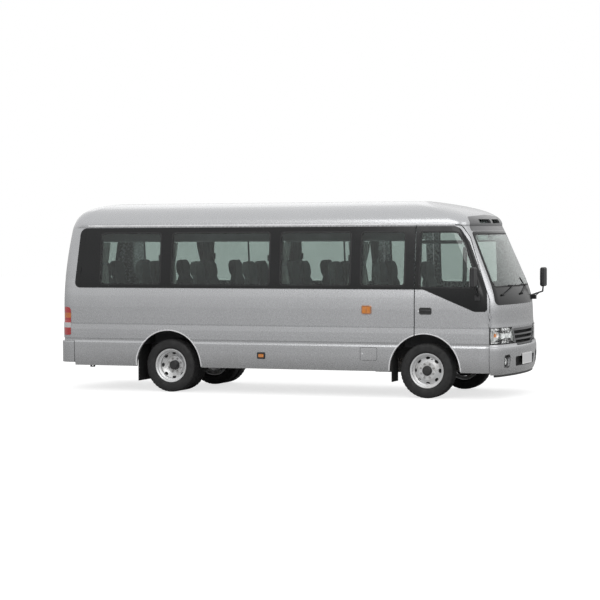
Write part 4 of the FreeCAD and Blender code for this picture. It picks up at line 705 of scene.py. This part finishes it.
def make_front_lamps():
    """Headlamps and fog lamps: clear covers over plated housings, reflectors and bulbs."""
    cover = picked("front_lamps", lambda at, normal: at.z > FOG_TOP and lamp_outward(at).dot(normal) >= 0.3)
    housing = picked("front_lamps", lambda at, normal: at.z >= FOG_TOP and (lamp_outward(at).dot(normal) <= 0.3
                                                                            or abs(normal.z) >= 0.6))
    seals = bmesh.new()
    for path in rims(cover):
        sweep(seals, evened(path, 0.012), domed(0.007, 0.0012), closed=True)
    solidify(piece("headlamp_covers", cover, "lamp_clear", replaces=("front_lamps",), turned_right=True), 0.003)
    piece("headlamp_seals", seals, "black_plastic", material="seal")
    solidify(piece("headlamp_housings", housing, "lamp_clear", material="reflector", turned_right=True), 0.001)
    bowls, bulbs, orange, cups, glasses = (bmesh.new() for _ in range(5))
    for side in (RIGHT, LEFT):
        for y, radius in ((0.615, 0.078), (0.765, 0.060)):
            place, axis = on_front(side * y, LAMP_Z)
            dish(bowls, place - axis * 0.012, axis, radius, 0.030)
            bulb(bulbs, place - axis * 0.016, axis, 0.011, 0.024)
        place, axis = on_front(side * 0.925, 0.86)
        dish(bowls, place - axis * 0.010, axis, 0.042, 0.028)
        bulb(orange, place - axis * 0.013, axis, 0.018, 0.022)
        place, _ = on_front(side * 0.698, LAMP_Z)
        brick(bowls, place - FORWARD * 0.0245, (0.0155, 0.004, 0.100), 0.002)
    for low, high in islands("front_lamps"):
        if high.z < FOG_TOP:
            centre = (low + high) / 2 + FORWARD * 0.004
            turned(glasses, [(0, 0.004), (0.018, 0.0036), (0.032, 0.0020), (0.040, 0.0), (0.040, -0.003),
                             (0.031, -0.0015), (0, 0.001)], centre, FORWARD, steps=40)
            dish(cups, centre - FORWARD * 0.003, FORWARD, 0.039, 0.014)
            turned(cups, [(0.0400, -0.014), (0.0440, -0.014), (0.0440, 0.001), (0.0425, 0.003), (0.0400, 0.001)],
                   centre, FORWARD, steps=40)
    piece("headlamp_reflectors", bowls, "lamp_clear", material="reflector")
    piece("headlamp_bulbs", bulbs, "lamp_clear")
    piece("indicator_bulbs", orange, "lamp_amber", material="orange")
    piece("fog_lamp_cups", cups, "lamp_clear", material="reflector")
    piece("fog_lamp_glasses", glasses, "lamp_clear")


def rounded_oblong(low, high, radius, spacing=0.008):
    """Points (across, up) round an oblong with rounded corners."""
    corners = []
    left, right, down, up = low[0] + radius, high[0] - radius, low[1] + radius, high[1] - radius
    for quarter, (u, v) in enumerate(((right, up), (left, up), (left, down), (right, down))):
        for angle in evenly(pi / 2 * quarter, pi / 2 * (quarter + 1), 6):
            corners.append((u + radius * cos(angle), v + radius * sin(angle)))
    points = []
    for one, two in zip(corners, corners[1:] + corners[:1]):
        points += divided(one, two, max(1, round(dist(one, two) / spacing)))
    return points


def divided(one, two, steps):
    """Points in even steps from one to the next, without the last."""
    return list(zip(evenly(one[0], two[0], steps), evenly(one[1], two[1], steps)))[:-1]


def grown(points, margin):
    """Points (across, up) moved away from their middle by a margin."""
    u = sum(point[0] for point in points) / len(points)
    v = sum(point[1] for point in points) / len(points)
    return [(x + copysign(margin, x - u), z + copysign(margin, z - v)) for x, z in points]


def make_fog_bezels():
    """Black bezels and linings of the fog lamps' recesses."""
    section = [(-0.011, -0.0015), (-0.011, 0.0008), (-0.001, 0.0020), (0.004, 0.0010), (0.004, -0.046),
               (0.001, -0.046), (0.001, -0.0015)]
    mesh = bmesh.new()
    for side in (RIGHT, LEFT):
        low, high = sorted((side * 0.640, side * 0.790))
        points = rounded_oblong((low, 0.432), (high, 0.588), 0.030)
        path = [(Vector((on_front(*out)[0].x, y, z)), FORWARD) for (y, z), out in zip(points, grown(points, 0.007))]
        sweep(mesh, path, inward(path, section), closed=True)
    piece("fog_bezels", mesh, "black_plastic")


def make_marker_rims():
    """Rims and the middle ribs of the orange markers on the sides."""
    rim = [(-0.005, -0.002), (-0.005, 0.0008), (0.0, 0.0025), (0.005, 0.0008), (0.005, -0.002)]
    mesh = bmesh.new()
    for low, high in islands("side_lamps"):
        if low.z < 0.9:
            continue
        side = side_of(low)
        y = side * max(abs(low.y), abs(high.y))
        x = (low.x + high.x) / 2
        points = rounded_oblong((low.x + 0.007, low.z + 0.007), (high.x - 0.007, high.z - 0.007), 0.014)
        rib = [(x, z) for z in evenly(low.z + 0.012, high.z - 0.012, 4)]
        for line, section, closed in ((points, rim, True), (rib, domed(0.005, 0.0018), False)):
            sweep(mesh, [(Vector((across, y, z)), OUT[side]) for across, z in line], section, closed)
    piece("marker_rims", mesh, "lamp_amber", material="brown")


def make_grille_mesh():
    """Black louvres behind the grille's slots and a mesh behind the bumper's intake."""
    low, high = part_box("grille")
    height = high[2] - low[2]
    mesh = bmesh.new()
    for y in evenly(-0.42, 0.42, 30):
        x = on_front(y, GRILLE_Z)[0].x - 0.054
        brick(mesh, (x, y, low[2] + height / 2), (0.003, 0.002, height / 2 - 0.018))
    for z in evenly(low[2] + 0.03, high[2] - 0.03, 5):
        path = [(Vector((on_front(y, GRILLE_Z)[0].x - 0.054, y, z)), FORWARD) for y in evenly(-0.44, 0.44, 12)]
        sweep(mesh, path, flat(0.004, -0.002, 0.002))
    piece("grille_mesh", mesh, "black_plastic")
    mesh = bmesh.new()
    face = skin("bumper_grilles")

    def behind(y, z):
        return face.ray_cast(Vector((4.0, y, z)), -FORWARD)[0], FORWARD

    for z in evenly(0.436, 0.554, 8):
        sweep(mesh, [behind(y, z) for y in evenly(-0.44, 0.44, 24)], flat(0.005, -0.002, 0.004))
    for y in evenly(-0.435, 0.435, 58):
        sweep(mesh, [behind(y, z) for z in (0.434, 0.475, 0.515, 0.556)], flat(0.004, -0.002, 0.003))
    piece("intake_mesh", mesh, "black_plastic")


# Trim on the outside


def inward(path, section):
    """A section turned so that its positive side lies towards the middle of a closed path."""
    centre = sum((point for point, _ in path), Vector()) / len(path)
    total = 0.0
    for index, (point, outward) in enumerate(path):
        tangent = path[(index + 1) % len(path)][0] - path[index - 1][0]
        total += tangent.cross(outward).normalized().dot(centre - point)
    return [(copysign(1, total) * across, out) for across, out in section]


def make_seals():
    """Black borders on every pane, and black liners in the wall's reveals behind them."""
    border = [(-0.0035, -0.002), (-0.0035, 0.0004), (-0.001, 0.0010), (0.019, 0.0008), (0.020, -0.0004)]
    liner = [(0.0142, -0.0066), (0.0192, -0.0066), (0.0192, -0.0515), (0.0142, -0.0515)]
    for node, outward, body, name in (("fixed_windows", glass_outward, "root", "pane"),
                                      ("driver_door_glass", sideways, "driver_door", "driver_pane"),
                                      ("passenger_door_glass", sideways, "passenger_door", "passenger_pane"),
                                      ("windscreen", lambda point: FORWARD, "root", "screen")):
        open_mesh = picked(node, lambda at, normal: outward(at).dot(normal) >= 0.45)
        mesh = bmesh.new()
        for path in rims(open_mesh):
            path = evened(path, 0.02)
            for section in (border,) if name == "screen" else (border, liner):
                sweep(mesh, path, inward(path, section), closed=True)
        open_mesh.free()
        piece(name + "_seals", mesh, "black_plastic", body, "seal")


def arch_path(x, side, first, last, radius):
    """Points round an arch between two angles, measured from forwards over the top."""
    path = []
    for turn in evenly(first, last, max(4, round((last - first) / 3))):
        angle = radians(turn)
        across, up = cos(angle), sin(angle)
        # The second ray steps over the gap at the door's rear edge.
        y = side * max(side * on_side(x + (radius + 0.012) * across + shift, AXLE_Z + (radius + 0.012) * up, side)[0].y
                       for shift in (0.0, copysign(0.022, across)))
        path.append((Vector((x + radius * across, y, AXLE_Z + radius * up)), OUT[side]))
    return path


def make_arch_lips():
    """Thin pale lips round the wheel arches, their paleness a painted highlight along the flange; the part on the
    driver's door moves with it.
    """
    split = degrees(acos((DOOR_EDGE_X - FRONT_X) / ARCH_RADIUS))
    section = [(-0.006, -0.010), (-0.006, 0.0025), (0.0, 0.004), (0.008, 0.003), (0.009, -0.003), (0.001, -0.010)]
    for x, side, first, last, body, name in (
            (FRONT_X, RIGHT, 0.0, split - 1.0, "driver_door", "door"),
            (FRONT_X, RIGHT, split + 1.0, 180.0, "root", "front_right"),
            (FRONT_X, LEFT, 0.0, 180.0, "root", "front_left"),
            (REAR_X, RIGHT, 0.0, 180.0, "root", "rear_right"),
            (REAR_X, LEFT, 0.0, 180.0, "root", "rear_left")):
        mesh = bmesh.new()
        sweep(mesh, arch_path(x, side, first, last, ARCH_RADIUS - 0.001), [(-side * u, v) for u, v in section])
        # The lips' pale finish is a painted highlight along the arch flange.
        piece("arch_lip_" + name, mesh, "body_paint", body, "bright")


def make_drip_rails():
    """A thin pale rail along each cant rail, above the black band; the rail is real, its paleness a painted highlight.
    """
    mesh = bmesh.new()
    for side in (RIGHT, LEFT):
        sweep(mesh, along_side([(x, 2.350) for x in evenly(-2.86, 2.64, 60)], side), domed(0.022, 0.005))
    # The rail's pale finish is a painted highlight along the cant rail.
    piece("drip_rails", mesh, "body_paint", material="bright")


def make_patches(name, slot, heights, span, columns, lift, thickness):
    """Thin plates laid on both sides; span gives their two ends (x) at a height, and the heights crowd at the ends."""
    low, high, rows = heights
    mesh = bmesh.new()
    for side in (RIGHT, LEFT):
        grid = []
        for share in evenly(0, 1, rows):
            z = low + (high - low) * (1 - cos(pi * share)) / 2
            grid.append([on_side(x, z, side) for x in evenly(*span(z), columns)])
        top, bottom = ([[mesh.verts.new(place + outward * level) for place, outward in row] for row in grid]
                       for level in (lift, lift - thickness))
        web(mesh, top)
        web(mesh, bottom)
        edges = []
        for layer in (top, bottom):
            edges.append(layer[0][:-1] + [row[-1] for row in layer[:-1]] + layer[-1][:0:-1]
                         + [row[0] for row in layer[:0:-1]])
        web(mesh, edges, True)
    piece(name, mesh, slot)


def rounding(z, low, high, low_radius, high_radius):
    """How far a plate's edge draws in at a height for its two rounded corners."""
    for distance, radius in ((z - low, low_radius), (high - z, high_radius)):
        if distance < radius:
            return radius - sqrt(max(0.0, radius ** 2 - (radius - distance) ** 2))
    return 0.0


def make_band_ends():
    """The band's painted rear ends, which run on to the quarter's edge."""
    low, high = 1.471, 2.321

    def span(z):
        lean = (z - low) / (high - low)
        return (-3.052 + 0.075 * lean + rounding(z, low, high, 0.085, 0.095),
                -3.000 + 0.100 * lean + rounding(z, low, high, 0.070, 0.090) + 0.014)

    make_patches("band_ends", "black_band", (low, high, 40), span, 6, 0.0009, 0.002)


def make_tail_lamp_wraps():
    """The tail lamps' lenses where they run on round the quarters."""
    low, high = 0.790, 1.190
    make_patches("tail_lamp_wraps", "lamp_red", (low, high, 24),
                 lambda z: (-3.245, -3.108 - rounding(z, low, high, 0.020, 0.055)), 10, 0.005, 0.007)


def make_latches():
    """Small black window latches inside the panes, at the posts."""
    for side, places, name in ((RIGHT, (-1.720, -1.502, -0.052, 0.155, 1.143, 1.340), "latches_right"),
                               (LEFT, (-1.955, -1.725, -0.510, -0.310), "latches_left")):
        mesh = bmesh.new()
        for x in places:
            place, outward = on_side(x, 1.895, side)
            brick(mesh, place - outward * 0.0065 - OUT[side] * 0.008, (0.014, 0.008, 0.042), 0.004)
        piece(name, mesh, "black_plastic")


def make_slider_frames():
    """Upright frames of the far side's sliding panes, and the rails of the driver's window."""
    mesh = bmesh.new()
    for x in (-1.17, 0.356):
        sweep(mesh, along_side([(x, z) for z in evenly(1.527, 2.241, 12)], LEFT, 0.006), flat(0.022, -0.012, 0.0))
    piece("slider_frames", mesh, "black_plastic")
    mesh = bmesh.new()
    upright = [(2.790, z) for z in evenly(1.507, 2.042, 12)]
    rail = [(x, 2.110) for x in evenly(2.165, 2.745, 12)]
    for points, width in ((upright, 0.055), (rail, 0.045)):
        sweep(mesh, along_side(points, RIGHT, 0.006), flat(width, -0.018, 0.0))
    piece("driver_window_frame", mesh, "black_plastic", "driver_door")


def make_lock(name, x, z, body, profile):
    """A small bright key lock on the right side."""
    mesh = bmesh.new()
    turned(mesh, profile, *on_side(x, z), steps=24)
    piece(name, mesh, "body_paint", body, "bright")


def make_door_handle():
    """The driver's door handle: a black pull in a rounded, lined recess with its lock."""
    mesh = bmesh.new()
    lock = (2.150, 1.182)
    face, _ = on_side(*lock)
    brick(mesh, (2.2505, face.y + 0.007, 1.1835), (0.0725, 0.011, 0.0155), 0.005)
    points = rounded_oblong((2.166, 1.140), (2.335, 1.225), 0.022)
    rim = [on_side(x, z) for x, z in grown(points, 0.010)]
    path = [(Vector((x, place.y, z)), outward) for (x, z), (place, outward) in zip(points, rim)]
    sweep(mesh, path, domed(0.010, 0.002), closed=True)
    pan = rounded_oblong((2.168, 1.142), (2.333, 1.223), 0.020, 0.02)
    front, back = ([mesh.verts.new((x, face.y + depth, z)) for x, z in pan] for depth in (-0.0004, 0.0016))
    mesh.faces.new(front)
    mesh.faces.new(back[::-1])
    web(mesh, [front, back], True)
    piece("door_handle", mesh, "black_plastic", "driver_door")
    make_lock("door_lock", *lock, "driver_door",
              [(0, -0.002), (0.009, -0.002), (0.009, 0.001), (0.0075, 0.002), (0.003, 0.0012), (0, 0.0012)])


def make_passenger_handle():
    """The passenger door's handle on its rear edge."""
    mesh = bmesh.new()
    y = on_side(1.040, 1.260, LEFT)[0].y
    brick(mesh, (1.029, y + 0.00025, 1.260), (0.031, 0.00125, 0.045), 0.001)
    brick(mesh, (1.029, y + 0.002, 1.260), (0.023, 0.002, 0.035), 0.0015)
    piece("passenger_handle", mesh, "black_plastic", "passenger_door")


def make_lamp_bezels():
    """Black bezels round the small side lamps."""
    corners = [(-0.189, 0.510), (-0.088, 0.510), (-0.088, 0.579), (-0.189, 0.579)]
    points = [point for one, two in zip(corners, corners[1:] + corners[:1]) for point in divided(one, two, 8)]
    mesh = bmesh.new()
    for side in (RIGHT, LEFT):
        path = []
        for x, z in points:
            place, _ = on_side(x + copysign(0.012, x + 0.14), z, side)
            path.append((Vector((x, side * abs(place.y), z)), OUT[side]))
        sweep(mesh, path, [(-0.014, -0.001), (-0.012, 0.0115), (0.006, 0.0125), (0.009, 0.010), (0.012, -0.001)],
              closed=True)
    piece("side_lamp_bezels", mesh, "black_plastic")


def make_mirror_glass():
    """Reflecting glass in the back of each mirror."""
    for node, body, centre in (("mirror_right", "driver_door", (2.945, -1.200, 1.641)),
                               ("mirror_left", "root", (3.254, 1.200, 1.595))):
        mesh = bmesh.new()
        brick(mesh, centre, (0.0015, 0.078, 0.118), 0.0012)
        piece(node + "_glass", mesh, "black_plastic", body, "mirror")


def make_fuel_lock():
    """The fuel flap's small lock."""
    make_lock("fuel_lock", 1.352, 0.595, "fuel_flap",
              [(0, -0.002), (0.011, -0.002), (0.011, 0.0012), (0.009, 0.002), (0.0035, 0.001), (0, 0.001)])


# Inside


def along_line(value, points):
    """A value read off a line of (place, height) points."""
    for (one, low), (two, high) in zip(points, points[1:]):
        if value <= two:
            share = (value - one) / (two - one)
            return low + (high - low) * share * share * (3 - 2 * share)
    return points[-1][1]


def pad(mesh, half, place, corner, widths=None):
    """A padded block with soft edges and two sewn channels, set by a matrix; widths shape a back and its headrest."""
    block = bmesh.new()
    bmesh.ops.create_cube(block, size=2.0)
    bmesh.ops.subdivide_edges(block, edges=list(block.edges), cuts=13, use_grid_fill=True)
    for vertex in block.verts:
        share = vertex.co.copy()
        point = Vector([part * reach for part, reach in zip(share, half)])
        core = Vector([max(corner - reach, min(reach - corner, part)) for part, reach in zip(point, half)])
        offset = point - core
        if offset.length > 1e-9:
            point = core + offset.normalized() * corner
        rise = (share.x + 1) / 2
        if share.z > 0.5 and (rise < 0.66 or not widths):
            point.z -= sum(0.008 * exp(-((share.y - line) / 0.09) ** 2) for line in (-0.55, 0.55))
        if widths:
            point.y *= along_line(rise, widths)
            neck = exp(-((rise - 0.70) / 0.035) ** 2)
            point.z += copysign(1, share.z) * (0.010 * (rise > 0.74) - 0.012 * neck)
        vertex.co = place @ point
    data = bpy.data.meshes.new("pad")
    block.to_mesh(data)
    block.free()
    mesh.from_mesh(data)
    bpy.data.meshes.remove(data)


def make_seats():
    """High-backed seats on pedestals, each with a cushion and a back."""
    top = 1.150
    widths = ((0.0, 0.94), (0.12, 1.0), (0.55, 1.0), (0.64, 0.92), (0.71, 0.70), (0.78, 0.74), (0.88, 0.76),
              (0.95, 0.68), (1.0, 0.48))
    cushions, backs, frames = (bmesh.new() for _ in range(3))
    for low, high in islands("seats"):
        x = low.x + 0.142
        y = (low.y + high.y) / 2
        half = (high.y - low.y) / 2
        pad(cushions, (0.218, half - 0.002, 0.062), Matrix.Translation((x + 0.220, y, top - 0.066)), 0.038)
        foot = Vector((x + 0.035, y, top - 0.110))
        head = Vector((x - 0.097, y, high.z))
        up = (head - foot).normalized()
        ahead = Vector((0, 1, 0)).cross(up)
        turn = Matrix(((up.x, 0, ahead.x, 0), (up.y, 1, ahead.y, 0), (up.z, 0, ahead.z, 0), (0, 0, 0, 1)))
        turn.translation = (foot + head) / 2
        pad(backs, ((head - foot).length / 2 - 0.004, half - 0.002, 0.046), turn, 0.034, widths)
        leg = (top - 0.125 - low.z) / 2
        brick(frames, (x + 0.100, y, low.z + leg), (0.040, 0.030, leg), 0.006)
        brick(frames, (x + 0.100, y, low.z + 0.004), (0.090, 0.150, 0.004), 0.003)
        brick(frames, (x + 0.210, y, top - 0.137), (0.190, half - 0.03, 0.013), 0.006)
    for name, mesh, replaces in (("seat_cushions", cushions, ("seats",)), ("seat_backs", backs, ())):
        piece(name, mesh, "seat_cloth", replaces=replaces, sharp=60.0)
    piece("seat_frames", frames, "chassis_paint")


def swing_for(width, waves, cloth):
    """How far the folds swing for a cloth of a given width gathered into a narrower one."""
    low, high = 0.0, 0.0125
    for _ in range(24):
        guess = (low + high) / 2
        fold = [guess * sin(2 * pi * share) for share in evenly(0, 1, 24)]
        length = waves * sum(hypot(width / waves / 24, two - one) for one, two in zip(fold, fold[1:]))
        if length < cloth:
            low = guess
        else:
            high = guess
    return low


def make_curtains():
    """Gathered curtains held by a tie at their waists."""
    tie = 1.810
    rows = 36
    ties = bmesh.new()
    for number, (low, high) in enumerate(islands("curtains")):
        side = side_of(low)
        width = high.x - low.x
        middle_x = (low.x + high.x) / 2
        waves = max(4, round(width / 0.036))
        cloth = CURTAIN_FULLNESS * width
        mesh = bmesh.new()
        lines = []
        for z in evenly(low.z + 0.004, high.z - 0.004, rows):
            away = min(1.0, abs(z - tie) / ((high.z if z > tie else tie) - (tie if z > tie else low.z)))
            span = width * (0.64 + 0.34 * (1 - (1 - away) ** 1.6))
            swing = swing_for(span, waves, cloth)
            mean = abs(on_side(middle_x - span / 2, z, side)[0].y) - CURTAIN_INSET
            line = []
            for share in evenly(0, 1, waves * 12):
                fold = swing * sin(2 * pi * waves * share + 0.25 * sin(5 * z + number))
                line.append(mesh.verts.new((middle_x + span * (share - 0.5), side * (mean + fold), z)))
            lines.append(line)
        web(mesh, lines)
        obj = piece("curtain_%d" % number, mesh, "curtain_cloth", replaces=("curtains",), sharp=80.0)
        inner = side * (abs(on_side(middle_x, tie, side)[0].y) - CURTAIN_INSET)
        brick(ties, (middle_x, inner, tie), (width * 0.33, 0.0145, 0.016), 0.006)
    piece("curtain_ties", ties, "trim_plastic")


def make_cab_fittings():
    """The rear-view mirror and the screen's darker top strip."""
    mesh = bmesh.new()
    place, outward = on_front(0.0, 2.215)
    foot = place - outward * 0.012
    tube(mesh, [foot, foot + Vector((-0.050, 0, -0.020))], 0.007)
    brick(mesh, foot + Vector((-0.062, 0, -0.036)), (0.012, 0.130, 0.036), 0.010)
    piece("cabin_mirror", mesh, "black_plastic")
    mesh = bmesh.new()
    rows = []
    for z in evenly(2.110, 2.220, 4):
        laid = [on_front(y, z) for y in evenly(-0.74, 0.74, 32)]
        rows.append([mesh.verts.new(place - outward * 0.0115) for place, outward in laid])
    web(mesh, rows)
    solidify(piece("sun_strip", mesh, "tinted_glass"), 0.0006, 0.0)


def make_pieces():
    for make in (make_wheels, make_brake_faces, make_front_lamps, make_fog_bezels, make_marker_rims,
                 make_grille_mesh, make_seals, make_arch_lips, make_drip_rails, make_band_ends,
                 make_tail_lamp_wraps, make_latches, make_slider_frames, make_door_handle, make_passenger_handle,
                 make_lamp_bezels, make_mirror_glass, make_fuel_lock, make_seats, make_curtains, make_cab_fittings):
        make()


# Camera, light and stage


def make_camera():
    """The photograph's view: a long lens, ahead of the right side, a little above the windows."""
    azimuth, pitch, roll = (radians(angle) for angle in (21.7547, 1.9916, -0.3212))
    turn = Matrix.Rotation(azimuth, 4, "Z") @ Matrix.Rotation(pi / 2 - pitch, 4, "X")
    data = bpy.data.cameras.new("camera")
    data.sensor_width = 36.0
    data.lens = 123.92
    data.clip_end = 200.0
    camera = placed("camera", data)
    camera.matrix_world = Matrix.Translation((10.956, -27.378, 2.305)) @ turn @ Matrix.Rotation(roll, 4, "Z")
    bpy.context.scene.camera = camera


def area_lamp(name, place, target, size, power):
    data = bpy.data.lights.new(name, "AREA")
    data.shape = "RECTANGLE"
    data.size, data.size_y = size
    data.energy = power
    lamp = placed(name, data)
    lamp.location = place
    lamp.rotation_mode = "QUATERNION"
    lamp.rotation_quaternion = (Vector(target) - Vector(place)).to_track_quat("-Z", "Y")


def make_world():
    """Soft light all round, brighter overhead; behind the object it is white, and metal mirrors a pale sky."""
    world = bpy.data.worlds.new("world")
    bpy.context.scene.world = world
    sky = Tree(world)
    place = sky.nodes.new("ShaderNodeTexCoord").outputs["Generated"]
    height = sky.node("SeparateXYZ", {"Vector": place}).outputs["Z"]
    rays = sky.nodes.new("ShaderNodeLightPath").outputs
    strength = sky.spread(height, -0.1, 0.9, 0.45, 0.90, interpolation_type="SMOOTHSTEP")
    mirrored = sky.spread(height, -0.06, 0.26, 0.38, 1.0, interpolation_type="SMOOTHSTEP")
    for ray, shown in (("Is Glossy Ray", mirrored), ("Is Transmission Ray", 1.0), ("Is Camera Ray", 1.0)):
        strength = sky.node("Mix", {0: rays[ray], 2: strength, 3: shown}, data_type="FLOAT").outputs[0]
    sky.wire(sky.nodes["Background"], {"Color": (1, 1, 1, 1), "Strength": strength})


def make_floor():
    """A wide pale floor, white to the camera apart from the shadow."""
    mesh = bpy.data.meshes.new("studio_floor")
    reach = 60.0
    mesh.from_pydata([(-reach, -reach, 0), (reach, -reach, 0), (reach, reach, 0), (-reach, reach, 0)], [],
                     [(0, 1, 2, 3)])
    floor = placed("studio_floor", mesh)
    colour = (0.42, 0.42, 0.42)
    finish = Finish("studio_floor", colour, 0.9)
    rays = finish.nodes.new("ShaderNodeLightPath").outputs
    seen = finish.maths("MAXIMUM", rays["Is Camera Ray"], rays["Is Transmission Ray"])
    finish.set({"Base Color": finish.varied(colour, 0.01, 0.6), "Emission Color": (1, 1, 1, 1),
                "Emission Strength": finish.maths("MULTIPLY", seen, 0.72)})
    mesh.materials.append(finish.material)


def make_stage():
    make_world()
    make_floor()
    area_lamp("key_lamp", (3.0, -13.0, 8.5), (0, 0, 1.2), (14, 7), 820)
    area_lamp("front_lamp", (12.0, -3.0, 6.0), (1.5, 0, 1.2), (6, 5), 130)
    area_lamp("back_lamp", (-6.0, 11.0, 7.0), (0, 0, 1.2), (9, 6), 60)
    bpy.context.scene.view_settings.view_transform = "Standard"


make_camera()
dress_nodes()
make_pieces()
make_stage()
